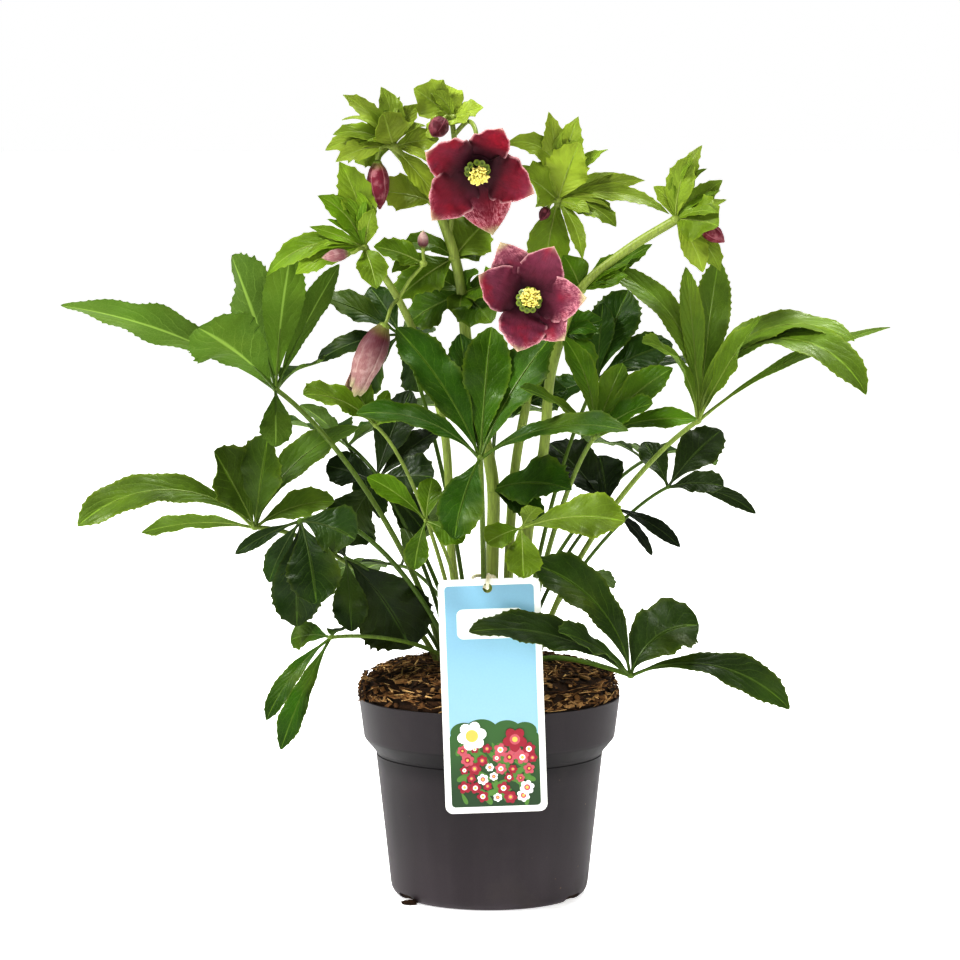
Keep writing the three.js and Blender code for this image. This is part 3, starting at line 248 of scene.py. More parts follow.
# Each flowering stem: where it leaves the crown, the points that it passes through, its radius at the
# crown and at the top, its twigs and its clusters of bracts. A twig is a thinner branch, given by its
# points, its radii and the bud or flower that it ends at. Bracts are given as leaflets are, each cluster
# about its meeting point.
STEMS = {
    "stem_left": Stem(
        (-13, -6),
        ((-24, -18, 220), (-29, -28, 306), (-44, -36, 359), (-58, -42, 391), (-79, -48, 424)),
        (3.0, 2.2),
        (
            (((-58, -42, 391), (-50, -48, 404), (-42, -51, 414)), (1.3, 1.1), "bud_small_upright"),
            (((-58, -42, 391), (-62, -58, 387)), (1.3, 1.1), "bud_pale"),
            (((-79, -48, 424), (-83, -57, 423)), (1.2, 1.0), "bud_small_left"),
        ),
        {
            (-79, -48, 424): (
                (-16, 5, 54, 22, 35), (-29, -10, 33, 15, 50), (6, -12, 25, 12, 30), (-3, 24, 38, 16, 15),
                (-35, 5, 13, 8, 15), (-44, 2, -17, 18, 40), (-63, 10, -19, 16, 75), (8, -20, -25, 19, 30),
            ),
            (-42, -50, 414): ((-31, -8, 11, 20, 25),),
        },
    ),
    "stem_main": Stem(
        (0, 5),
        (
            (2, 5, 225), (2, 0, 271), (-9, -5, 324), (-15, -10, 363), (-18, -15, 396), (-26, -20, 429),
            (-40, -25, 461), (-61, -30, 487),
        ),
        (4.6, 2.9),
        (
            (((-26, -20, 429), (-22, -24, 461), (-22, -27, 487), (-24, -30, 505)), (2.2, 1.6), None),
            (((-23, -28, 494), (-14, -35, 503), (-9, -49, 498)), (1.5, 1.3), "flower_upper"),
            (((-61, -30, 487), (-68, -36, 487)), (1.4, 1.2), "bud_hanging"),
            (((-24, -30, 505),), (1.3, 1.1), "bud_top"),
        ),
        {
            (-61, -30, 487): (
                (-32, 0, 33, 13, 40), (-8, 5, 38, 15, 45), (-38, -10, 8, 13, 60), (-43, -8, -2, 16, 60),
                (-36, -20, -9, 14, 40), (-25, 10, -10, 19, 30), (17, 5, 27, 12, 50), (29, 0, 5, 16, 20),
                (-6, -15, 22, 24, 10), (30, -7, -36, 14, 15),
            ),
            (-24, -30, 505): (
                (-24, -5, 19, 27, 15), (-5, 8, 22, 19, 10), (20, 0, 7, 14, 35), (-16, 0, -12, 16, 20),
                (8, -14, -3, 14, 15),
            ),
            (-36, -24, 452): ((-35, -6, 7, 23, 20),),
            (-23, -18, 416): ((-36, -12, -26, 31, 20), (21, 8, 23, 32, 15)),
            (-17, -14, 393): ((22, -22, 8, 24, 20), (18, -28, -17, 33, 20), (-38, 12, -22, 30, 25)),
            (2, 0, 265): ((50, -56, 6, 35, 30),),
        },
    ),
    "stem_right": Stem(
        (18, -4),
        (
            (26, -2, 245), (35, -10, 292), (39, -15, 339), (46, -20, 366), (58, -25, 396), (88, -30, 422),
            (118, -35, 441),
        ),
        (3.6, 3.0),
        (
            (((118, -35, 441), (127, -39, 442)), (1.4, 1.2), "bud_right"),
        ),
        {
            (118, -35, 441): (
                (10, -4, 42, 17, 30), (17, 8, 47, 15, 40), (-14, 5, 21, 11, 60), (30, 5, 25, 14, 10),
                (32, -5, 13, 8, 10), (26, -22, -3, 30, 25), (17, -8, -33, 16, 35), (29, 5, -33, 14, 45),
            ),
            (58, -25, 396): (
                (46, 4, 29, 14, 10), (33, -8, 22, 16, 10), (30, -12, 10, 12, 15), (-11, 5, 22, 19, 30),
            ),
            (46, -20, 366): ((27, 6, 10, 20, 20), (20, -6, -24, 20, 25)),
        },
    ),
    "stem_upper_right": Stem(
        (11, 14),
        ((16, 12, 271), (24, 10, 320), (36, 5, 376), (41, 0, 413), (44, -5, 452)),
        (3.4, 2.4),
        (
            (((30, 8, 350), (27, -20, 374), (24, -50, 389)), (1.7, 1.4), "flower_lower"),
            (((44, -5, 452),), (1.2, 1.0), "bud_dark"),
        ),
        {
            (44, -5, 452): (
                (-34, -9, 36, 16, 135), (-6, 1, 57, 18, 14), (13, 5, 54, 20, 20), (-22, -18, 17, 32, 20),
                (14, -8, 38, 27, 15), (32, 5, 33, 10, 55), (56, 5, 13, 12, 30), (71, -8, -8, 12, 60),
                (37, -12, -16, 19, 60), (-8, -9, -55, 26, 25), (20, -15, -7, 11, 25),
            ),
            (24, 10, 320): ((-25, 6, -10, 22, 25), (27, 8, 8, 22, 25)),
        },
    ),
}

# Each closed bud: where it sits on its twig, the way it points, its length, its width, its colour,
# from 0, deep plum, to 1, pale pink, and how far the tips of its sepals stand apart.
BUDS = {
    "bud_hanging": Bud((-71, -38, 477), (0.05, -0.05, -1), 29, 14, 0.3, 0),
    "bud_top": Bud((-29.5, -40, 504), (-0.35, -0.75, -0.55), 17, 12.5, 0.1, 0),
    "bud_right": Bud((135, -41, 437.5), (0.8, -0.1, -0.6), 17, 11, 0.25, 0),
    "bud_pale": Bud((-66.5, -65, 375), (-0.42, -0.1, -0.9), 46, 19, 0.8, 1),
    "bud_small_left": Bud((-89, -59.5, 420.8), (-0.95, -0.2, -0.15), 17, 8, 0.7, 0),
    "bud_small_upright": Bud((-42, -52, 424), (0, -0.1, 1), 11, 7, 0.95, 0),
    "bud_dark": Bud((37.5, -12, 448), (-0.5, -0.3, -0.8), 10, 7, 0.0, 0),
}

# Each open flower: the back of its cup, the way it looks, how dusky it is, from 0, crimson, to 1, a
# bloomy purple, the way its stamens lean, and its sepals. Each sepal: its angle, length and width, 1 if it
# lies behind its neighbours, and how much of it is netted with pale veins.
FLOWERS = {
    "flower_upper": Flower((-8, -66, 475), (0.05, -0.9, -0.42), 0.12, (0.9, -1.7), (
        (153, 37, 31, 0, 0.3), (66, 35, 26, 1, 0.15), (-18, 37, 33, 0, 0.3), (-76, 42, 35, 1, 1),
        (-134, 41, 33, 0, 0.5),
    )),
    "flower_lower": Flower((24, -76, 392), (0.08, -0.96, 0.12), 1.0, (0.8, 1.5), (
        (155, 35, 30, 0, 0.4), (117, 40, 30, 1, 0.85), (65, 36, 30, 0, 0.2), (1, 35, 29, 0, 0.95),
        (-50, 33, 27, 1, 0.7), (-104, 33, 31, 0, 0.6),
    )),
}

# ---------------------------------------------------------------------------------------------
# Finishes
# ---------------------------------------------------------------------------------------------


def colour(red, green, blue):
    """A colour given as on a paint chart, from 0 to 255, in the linear form that shaders read."""
    shares = [part / 255 for part in (red, green, blue)]
    linear = [s / 12.92 if s <= 0.04045 else ((s + 0.055) / 1.055) ** 2.4 for s in shares]
    return (*linear, 1.0)


class Signal:
    """What one output of a material's nodes gives, so that sums on it can be written as usual."""

    def __init__(self, finish, socket):
        self.finish = finish
        self.socket = socket

    def __add__(self, other):
        return self.finish.sum("ADD", self, other)

    def __radd__(self, other):
        return self.finish.sum("ADD", other, self)

    def __sub__(self, other):
        return self.finish.sum("SUBTRACT", self, other)

    def __rsub__(self, other):
        return self.finish.sum("SUBTRACT", other, self)

    def __mul__(self, other):
        return self.finish.sum("MULTIPLY", self, other)

    def __pow__(self, other):
        return self.finish.sum("POWER", self, other)

    def __abs__(self):
        return self.finish.sum("ABSOLUTE", self)


class Finish:
    """A material in the making, with short words for the nodes that it needs."""

    def __init__(self, name, **plain):
        self.material = bpy.data.materials.new(name)
        self.material.use_nodes = True
        self.tree = self.material.node_tree
        self.shader = self.tree.nodes["Principled BSDF"]
        for socket, value in plain.items():
            self.shader.inputs[socket.replace("_", " ")].default_value = value

    def node(self, kind, inputs, output=0, **settings):
        node = self.tree.nodes.new("ShaderNode" + kind)
        for name, value in settings.items():
            setattr(node, name, value)
        for name, value in inputs.items():
            self.feed(node.inputs[name], value)
        return Signal(self, node.outputs[output])

    def feed(self, socket, value):
        if isinstance(value, Signal):
            self.tree.links.new(value.socket, socket)
        elif socket.type == "RGBA":
            socket.default_value = colour(*value)
        else:
            socket.default_value = value

    def parts(self, vector):
        split = self.node("SeparateXYZ", {0: vector}).socket.node
        return [Signal(self, socket) for socket in split.outputs]

    def blade(self):
        """Where on a blade a point lies: from foot to tip, across from -1 to 1, and on which side."""
        return self.parts(self.node("Attribute", {}, "Vector", attribute_name="blade"))

    def tone(self):
        return self.node("Attribute", {}, "Fac", attribute_name="tone")

    def join(self, x, y, z):
        return self.node("CombineXYZ", {0: x, 1: y, 2: z})

    def place(self, stretch=(1, 1, 1)):
        coordinates = self.node("TexCoord", {}, "Object")
        return self.node("Mapping", {"Vector": coordinates, "Scale": stretch})

    def sum(self, operation, a, b=0.0):
        return self.node("Math", {0: a, 1: b, 2: 0.0}, operation=operation)

    def fade(self, value, low, high, to_low=0.0, to_high=1.0):
        inputs = {"Value": value, "From Min": low, "From Max": high, "To Min": to_low, "To Max": to_high}
        return self.node("MapRange", inputs, interpolation_type="SMOOTHSTEP")

    def mix(self, share, first, second):
        return self.node("Mix", {0: share, 6: first, 7: second}, 2, data_type="RGBA")

    def shade(self, tint, amount):
        return self.node("VectorMath", {0: tint, "Scale": amount}, operation="SCALE")

    def clouds(self, vector, scale, detail=3.0, roughness=0.55):
        inputs = {"Vector": vector, "Scale": scale, "Detail": detail, "Roughness": roughness}
        return self.node("TexNoise", inputs)

    def cells(self, vector, scale, feature="DISTANCE_TO_EDGE"):
        return self.node("TexVoronoi", {"Vector": vector, "Scale": scale}, feature=feature)

    def ramp(self, value, *stops):
        """Colours along a value, each stop as its position and its red, green and blue."""
        signal = self.node("ValToRGB", {0: value})
        band = signal.socket.node.color_ramp
        while len(band.elements) < len(stops):
            band.elements.new(0.5)
        for element, (position, *tint) in zip(band.elements, stops):
            element.position = position
            element.color = colour(*tint)
        return signal

    def bump(self, height, distance, strength, below=None):
        inputs = {"Height": height, "Distance": distance, "Strength": strength}
        if below:
            inputs["Normal"] = below
        return self.node("Bump", inputs)

    def wear(self, skin, roughness, relief=None):
        """Feeds the shader and gives back the finished material."""
        self.feed(self.shader.inputs["Base Color"], skin)
        self.feed(self.shader.inputs["Roughness"], roughness)
        if relief:
            self.feed(self.shader.inputs["Normal"], relief)
        return self.material


def leaf_skin(name, painted_sheen):
    """A leathery blade: darker above, paler below, with a pale midrib, faint side veins and a fine net; on
    some leaves a painted sheen, a grey cast mixed into the green.
    """
    f = Finish(name, Specular_IOR_Level=0.24)
    span, rib, under = f.blade()
    tone = f.tone()
    where = f.place()
    across = abs(rib)
    wander = f.clouds(where, 60) - 0.5
    swell = f.sum("PINGPONG", (span - across * 0.3) * 8.5 + wander * 1.7, 0.5)
    showing = f.fade(f.clouds(where, 48, 2), 0.35, 0.65, 0.25, 1)
    side_vein = f.fade(swell, 0.0, 0.07, 1, 0) * f.fade(across, 0.6, 1.0, 1, 0.1) * showing
    midrib = f.fade(across, 0.02, 0.085, 1, 0)
    net = f.fade(f.cells(where, 420), 0.0, 0.09, 1, 0)

    green = f.ramp(
        tone, (0, 22, 34, 13), (0.22, 36, 58, 14), (0.5, 56, 93, 11), (0.82, 98, 127, 20), (1, 144, 160, 62)
    )
    # painted sheen: the green is mixed a share towards grey, standing in for the sheen on some leaves
    green = f.mix(painted_sheen, green, f.mix(tone, (20, 22, 14), (130, 134, 86)))
    green = f.shade(green, f.fade(f.clouds(where, 30, 4), 0.3, 0.75, 0.74, 1.28))
    green = f.shade(green, f.fade(f.clouds(where, 7, 2), 0.35, 0.65, 0.72, 1.2))
    yellower = f.mix(tone, (56, 72, 16), (164, 182, 56))
    green = f.mix(f.fade(f.clouds(where, 17, 3), 0.5, 0.75, 0, 0.4), green, yellower)
    pale = f.mix(tone, (78, 106, 44), (166, 200, 70))
    top = f.mix(f.fade(across, 0.82, 1.0, 0, 0.3), green, yellower)
    back = f.mix(0.55, green, f.mix(tone, (84, 108, 48), (140, 172, 54)))
    for vein, above, below, tint in (
        (side_vein, 0.26, 0.4, (146, 172, 84)),
        (net, 0.07, 0.16, (138, 164, 80)),
        (midrib, 0.6, 0.7, (158, 184, 92)),
    ):
        top = f.mix(vein * above, top, pale)
        back = f.mix(vein * below, back, tint)

    quilt = (swell * 2.0) ** 0.6 * f.fade(across, 0, 0.2, 0.2, 1)
    side = f.fade(under, 0.4, 0.6, 1, -1)
    relief = f.bump(quilt * side * showing, 0.0007, 0.4)
    relief = f.bump(net * (side * -1.0), 0.0001, 0.45, relief)
    relief = f.bump(f.clouds(where, 130, 3), 0.0008, 0.55, relief)
    gloss = f.fade(f.clouds(where, 90), 0.3, 0.7, 0.34, 0.56)
    rough = f.node("Mix", {0: under, 2: gloss, 3: 0.66}, data_type="FLOAT")
    return f.wear(f.mix(under, top, back), rough, relief)


def stalk_skin():
    """A smooth ribbed stalk, greener and duller on the old leaves, flushed a little at its foot."""
    f = Finish("stalk_skin", Specular_IOR_Level=0.45)
    span, _, _ = f.blade()
    streaks = f.clouds(f.place((1, 1, 0.08)), 900, 2)
    green = f.ramp(f.tone(), (0, 42, 50, 20), (0.5, 84, 110, 30), (1, 154, 168, 84))
    green = f.shade(green, f.fade(streaks, 0.25, 0.75, 0.82, 1.18))
    flush = f.fade(span, 0.0, 0.3, 1, 0) * f.fade(f.clouds(f.place((1, 1, 0.3)), 260), 0.4, 0.7, 0.1, 0.7)
    skin = f.mix(flush, green, (104, 74, 62))
    return f.wear(skin, f.fade(streaks, 0.2, 0.8, 0.36, 0.52), f.bump(streaks, 0.0003, 0.4))


def sepal_skin(name, dusk):
    """Plum velvet, darkest in the throat, with crimson flushes, pale netted veins and a pale rim."""
    f = Finish(name, Specular_IOR_Level=0.3, Sheen_Weight=0.08, Sheen_Roughness=0.5)
    span, rib, inner = f.blade()
    netting = f.tone()
    where = f.place()
    across = abs(rib)
    crimson = f.ramp(
        span, (0, 36, 5, 16), (0.26, 66, 9, 26), (0.5, 116, 16, 42), (0.85, 142, 26, 54), (1, 160, 62, 80)
    )
    purple = f.ramp(
        span, (0, 44, 12, 26), (0.24, 86, 26, 46), (0.5, 118, 46, 70), (0.85, 134, 66, 88), (1, 158, 104, 112)
    )
    bloomy = dusk + f.fade(f.clouds(where, 42, 2), 0.35, 0.65, -0.4, 0.4)
    plum = f.mix(f.fade(bloomy, 0, 1), crimson, purple)
    flush = f.fade(f.clouds(where, 62, 2), 0.5, 0.68) * f.fade(span, 0.3, 0.6, 0, 0.5)
    plum = f.mix(flush, plum, (162, 14, 46))
    plum = f.shade(plum, f.fade(f.clouds(where, 240, 2), 0.3, 0.7, 0.93, 1.08))

    fan = f.join(span * 5.5, rib * 15.0, netting * 9.0)
    vein = f.fade(f.cells(fan, 1.0), 0.0, 0.12, 1, 0)
    fine = f.fade(f.cells(fan, 3.1), 0.0, 0.18, 1, 0)
    netted = f.fade(span + across ** 2.0 * 0.4 - (1.24 - netting * 0.7), -0.1, 0.34)
    lace = (1.0 - vein) * netted * f.fade(f.clouds(where, 520, 3), 0.36, 0.6, 0.2, 1)
    lace = lace * f.fade(across, 0.0, 0.35, 0.45, 1)
    ragged = across + (f.clouds(where, 330, 3) - 0.5) * 0.16
    rim = f.sum("MAXIMUM", f.fade(ragged, 0.86, 1.02, 0, 0.9), f.fade(span, 0.93, 1.0, 0, 0.85))
    tip = f.fade(span + lace * 0.05, 0.84, 1.0)

    pale = f.mix(f.fade(span, 0.84, 1.0), (230, 172, 180), (214, 214, 166))
    face = f.mix(lace * 0.78, plum, pale)
    face = f.mix(fine * (netted * 0.3), face, (140, 18, 48))
    face = f.mix(rim * f.fade(span, 0.2, 0.5), face, (222, 176, 178))
    face = f.mix(tip * (netting * 0.75), face, (206, 206, 158))
    face = f.mix(vein * (0.2 - netted * 0.2), face, (46, 6, 22))
    back = f.mix(f.fade(span, 0.0, 0.7, 0.7, 0.1), (132, 52, 74), (134, 144, 84))
    back = f.mix(vein * 0.35, back, (96, 28, 48))
    back = f.mix(rim, back, (214, 170, 160))
    relief = f.bump(f.clouds(where, 150, 3), 0.0007, 0.5, f.bump(vein * -1.0, 0.0003, 0.3))
    return f.wear(f.mix(inner, back, face), 0.55, relief)


def bud_skin():
    """Folded sepals of a closed bud, from deep plum to pale pink, greener at the foot, finely veined."""
    f = Finish("bud_skin", Specular_IOR_Level=0.35, Sheen_Weight=0.08)
    span, rib, _ = f.blade()
    tone = f.tone()
    skin = f.ramp(tone, (0, 84, 20, 34), (0.3, 132, 34, 58), (0.7, 168, 122, 122), (1, 196, 168, 160))
    vein = f.fade(f.cells(f.join(span * 5.0, rib * 7.0, tone * 5.0), 1.4), 0.0, 0.2, 1, 0)
    skin = f.mix(vein * 0.4, skin, f.mix(tone, (64, 10, 26), (156, 96, 104)))
    pale = f.mix(tone, (182, 104, 120), (228, 212, 202))
    skin = f.mix(f.fade(f.clouds(f.place(), 260, 3), 0.42, 0.66) * 0.4, skin, pale)
    skin = f.mix(f.fade(abs(rib), 0.84, 1.0, 0, 0.55), skin, pale)
    ripening = f.fade(tone, 0.6, 0.8, 0, 0.95) * f.fade(span, 0.1, 0.75, 1, 0)
    skin = f.mix(ripening, skin, (88, 20, 40))
    open_tip = f.fade(tone, 0.6, 0.8) * f.fade(span, 0.8, 1.0, 0, 0.7)
    skin = f.mix(open_tip, skin, (206, 206, 160))
    skin = f.mix(f.fade(span, 0.0, 0.2, 0.7, 0), skin, (132, 140, 70))
    return f.wear(skin, 0.48, f.bump(vein, -0.0003, 0.4))


def nectary_skin():
    """Waxy green tubes, yellower towards their mouths and dark inside."""
    f = Finish("nectary_skin", Specular_IOR_Level=0.5)
    span, _, inside = f.blade()
    skin = f.ramp(span, (0, 60, 76, 18), (0.55, 92, 114, 28), (1, 118, 136, 42))
    skin = f.shade(skin, f.fade(f.clouds(f.place(), 900), 0.3, 0.7, 0.82, 1.15))
    skin = f.mix(inside, skin, (82, 100, 30))
    return f.wear(skin, 0.36, f.bump(f.clouds(f.place(), 1400), 0.0001, 0.4))


def stamen_skin():
    """Pale yellow threads and pollen heads."""
    f = Finish("stamen_skin", Specular_IOR_Level=0.3)
    span, _, _ = f.blade()
    skin = f.mix(f.fade(span, 0.3, 1.0), (206, 210, 124), (246, 236, 150))
    skin = f.shade(skin, f.fade(f.clouds(f.place(), 1300), 0.3, 0.7, 0.84, 1.1))
    return f.wear(skin, 0.7, f.bump(f.clouds(f.place(), 2600), 0.00012, 0.6))


def pot_plastic():
    """Satin dark grey plastic with a faint moulded grain, handling marks and dust near the foot, painted
    light that brightens the plastic towards the foot, and a painted shade band under the shoulder.
    """
    f = Finish("pot_plastic", Specular_IOR_Level=0.36)
    where = f.place()
    _, _, height = f.parts(where)
    grain = f.clouds(where, 1500, 2)
    flow = f.clouds(f.place((1, 1, 0.12)), 34, 3)
    base = f.mix(f.fade(flow, 0.3, 0.7), (45, 39, 42), (54, 48, 51))
    base = f.shade(base, f.fade(grain, 0.3, 0.7, 0.94, 1.06))
    # painted light: the plastic is made brighter towards the foot
    base = f.shade(base, f.fade(height, 0.0, 0.07, 1.75, 1.0))
    # painted shade: a darker band from under the shoulder up to the rim band
    base = f.mix(f.fade(height, 0.1035, 0.105), f.shade(base, f.fade(height, 0.08, 0.094, 1, 0.42)), base)
    dust = f.fade(f.clouds(where, 46, 5), 0.5, 0.72) * f.fade(height, 0.0, 0.04, 0.34, 0.1)
    base = f.mix(dust, base, (84, 78, 74))
    specks = f.fade(f.cells(where, 120, "F1"), 0.06, 0.1, 1, 0) * f.fade(f.clouds(where, 30), 0.52, 0.6)
    base = f.mix(specks * 0.6, base, (120, 98, 80))
    rough = f.fade(flow, 0.3, 0.7, 0.42, 0.52) + dust * 0.5
    relief = f.bump(f.clouds(where, 60, 2), 0.0003, 0.12, f.bump(grain, 0.00005, 0.5))
    return f.wear(base, rough, relief)


def bark():
    """Bark and coir: dark crumbs, brown flakes and pale torn fibres."""
    f = Finish("bark", Specular_IOR_Level=0.25)
    grain = f.clouds(f.place(), 700, 4, 0.7)
    wood = f.ramp(f.tone(), (0, 28, 19, 12), (0.35, 76, 51, 29), (0.65, 134, 99, 60), (1, 208, 176, 124))
    wood = f.shade(wood, f.fade(grain, 0.25, 0.75, 0.55, 1.4))
    return f.wear(wood, f.fade(grain, 0.2, 0.8, 0.7, 0.95), f.bump(grain, 0.0008, 0.8))


def coated_card(name, tint, low=None, heights=()):
    """Printed card under a thin gloss coat; with low, the ink runs from low to tint between two heights."""
    f = Finish(name, Specular_IOR_Level=0.5, Coat_Weight=0.25, Coat_Roughness=0.18)
    where = f.place()
    ink = f.mix(f.fade(f.parts(where)[2], *heights), low, tint) if low else colour(*tint)[:3]
    fibre = f.clouds(where, 800, 2)
    ink = f.shade(ink, f.fade(fibre, 0.3, 0.7, 0.985, 1.01))
    return f.wear(ink, f.fade(fibre, 0.3, 0.7, 0.3, 0.4), f.bump(fibre, 0.00003, 0.3))


def strap_plastic():
    """Soft cream plastic."""
    f = Finish("strap_plastic", Specular_IOR_Level=0.5)
    cloudy = f.clouds(f.place(), 220, 2)
    skin = f.mix(f.fade(cloudy, 0.3, 0.7), (226, 216, 186), (242, 236, 214))
    return f.wear(skin, 0.42, f.bump(cloudy, 0.0002, 0.3))


LEAF_SKIN = leaf_skin("leaf_skin", 0)
# Leaves with a painted sheen: a grey cast is mixed into their green.
PAINTED_SHEEN_LEAF_SKIN = leaf_skin("painted_sheen_leaf_skin", 0.22)
PAINTED_SHEEN_LEAVES = ("leaf_middle_left", "leaf_upper_right", "leaf_dark_right", "leaf_front_right")
STALK_SKIN = stalk_skin()
BUD_SKIN = bud_skin()
NECTARY_SKIN = nectary_skin()
STAMEN_SKIN = stamen_skin()
POT_PLASTIC = pot_plastic()
BARK = bark()
STRAP_PLASTIC = strap_plastic()
SKY = coated_card("card_sky", (140, 184, 204), (156, 192, 208), (0.11, 0.21))
INKS = (
    coated_card("card_white", (244, 244, 240)),
    coated_card("card_meadow", (58, 104, 44), (34, 72, 30), (0.075, 0.12)),
    coated_card("card_leaf", (92, 138, 56)),
    coated_card("card_red", (158, 24, 52)),
    coated_card("card_pink", (190, 94, 106)),
    coated_card("card_yellow", (206, 190, 96)),
)
WHITE, MEADOW, LEAF, RED, PINK, YELLOW = range(len(INKS))

# ---------------------------------------------------------------------------------------------
# Shaping
# ---------------------------------------------------------------------------------------------


def mm(point):
    return Vector(point) * MM


def lerp(a, b, share):
    return a + (b - a) * share


def smooth(share):
    share = min(max(share, 0.0), 1.0)
    return share * share * (3 - 2 * share)


def about(axis, angle, size=4):
    return Matrix.Rotation(angle, size, axis)


def square_to(direction, wanted):
    """A unit vector square to another, as close as can be to a wanted one."""
    across = wanted - direction * wanted.dot(direction)
    if across.length < 0.05:
        return square_to(direction, Vector((0.3, -1, 0.2)))
    return across.normalized()


def frame_matrix(place, along, across, size=1.0):
    """Turns a shape drawn in X and Y to lie square to along at a place."""
    up = along.cross(across)
    turn = Matrix((across, up, along)).transposed().to_4x4()
    return Matrix.Translation(place) @ turn @ Matrix.Scale(size, 4)


def round_path(points, steps, closed=False):
    """Points along a smooth centripetal curve through the given ones."""
    count = len(points)
    spans = count if closed else count - 1
    path = []
    for step in range(steps if closed else steps + 1):
        at = spans * step / steps
        index = min(int(at), spans - 1)
        share = at - index
        b, c = points[index % count], points[(index + 1) % count]
        a = points[(index - 1) % count] if closed or index else b * 2 - c
        d = points[(index + 2) % count] if closed or index + 2 < count else c * 2 - b
        ab, bc, cd = ((q - p).length ** 0.5 for p, q in ((a, b), (b, c), (c, d)))
        leave = ((b - a) / ab - (c - a) / (ab + bc) + (c - b) / bc) * bc
        arrive = ((c - b) / bc - (d - b) / (bc + cd) + (d - c) / cd) * bc
        path.append(
            b + leave * share
            + (b * -3 + c * 3 - leave * 2 - arrive) * share**2
            + (b * 2 - c * 2 + leave + arrive) * share**3
        )
    return path


def only(kind, things):
    return [thing for thing in things if isinstance(thing, kind)]


def faces_at(verts):
    return {face for vert in verts for face in vert.link_faces}


def edges_at(verts):
    return {edge for vert in verts for edge in vert.link_edges}


def row_of_rings(bm, sides, places):
    """A circle at the first place, extruded from each place to the next. Gives the rings and the faces."""
    rings = [bmesh.ops.create_circle(bm, segments=sides, radius=1)["verts"]]
    faces = []
    was = Matrix.Identity(4)
    for index, now in enumerate(places):
        if index:
            ring = rings[-1]
            edges = [edge for edge in edges_at(ring) if all(vert in ring for vert in edge.verts)]
            grown = bmesh.ops.extrude_edge_only(bm, edges=edges)["geom"]
            faces += only(bmesh.types.BMFace, grown)
            rings.append(only(BMVert, grown))
        bmesh.ops.transform(bm, matrix=now @ was.inverted(), verts=rings[-1])
        was = now
    return rings, faces


def open_edges(ring):
    return [edge for edge in edges_at(ring) if edge.is_boundary]


def doubled(bm, faces):
    """Gives faces a second skin, joined to them by walls, and hands back its points to be moved off."""
    return only(BMVert, bmesh.ops.extrude_face_region(bm, geom=list(faces), use_keep_orig=True)["geom"])


def as_object(name, bm):
    """Turns a finished bmesh into an object of the scene."""
    mesh = bpy.data.meshes.new(name)
    bm.to_mesh(mesh)
    bm.free()
    made = bpy.data.objects.new(name, mesh)
    bpy.context.scene.collection.objects.link(made)
    return made


def cut(piece, name, shape):
    """Cuts a closed shape out of a piece."""
    cutter = as_object(name, shape)
    modifier = piece.modifiers.new("cut", "BOOLEAN")
    modifier.operation = "DIFFERENCE"
    modifier.solver = "EXACT"
    modifier.object = cutter
    bpy.context.view_layer.update()
    shown = piece.evaluated_get(bpy.context.evaluated_depsgraph_get())
    mesh = bpy.data.meshes.new_from_object(shown)
    piece.modifiers.clear()
    piece.data = mesh
    bpy.data.objects.remove(cutter)


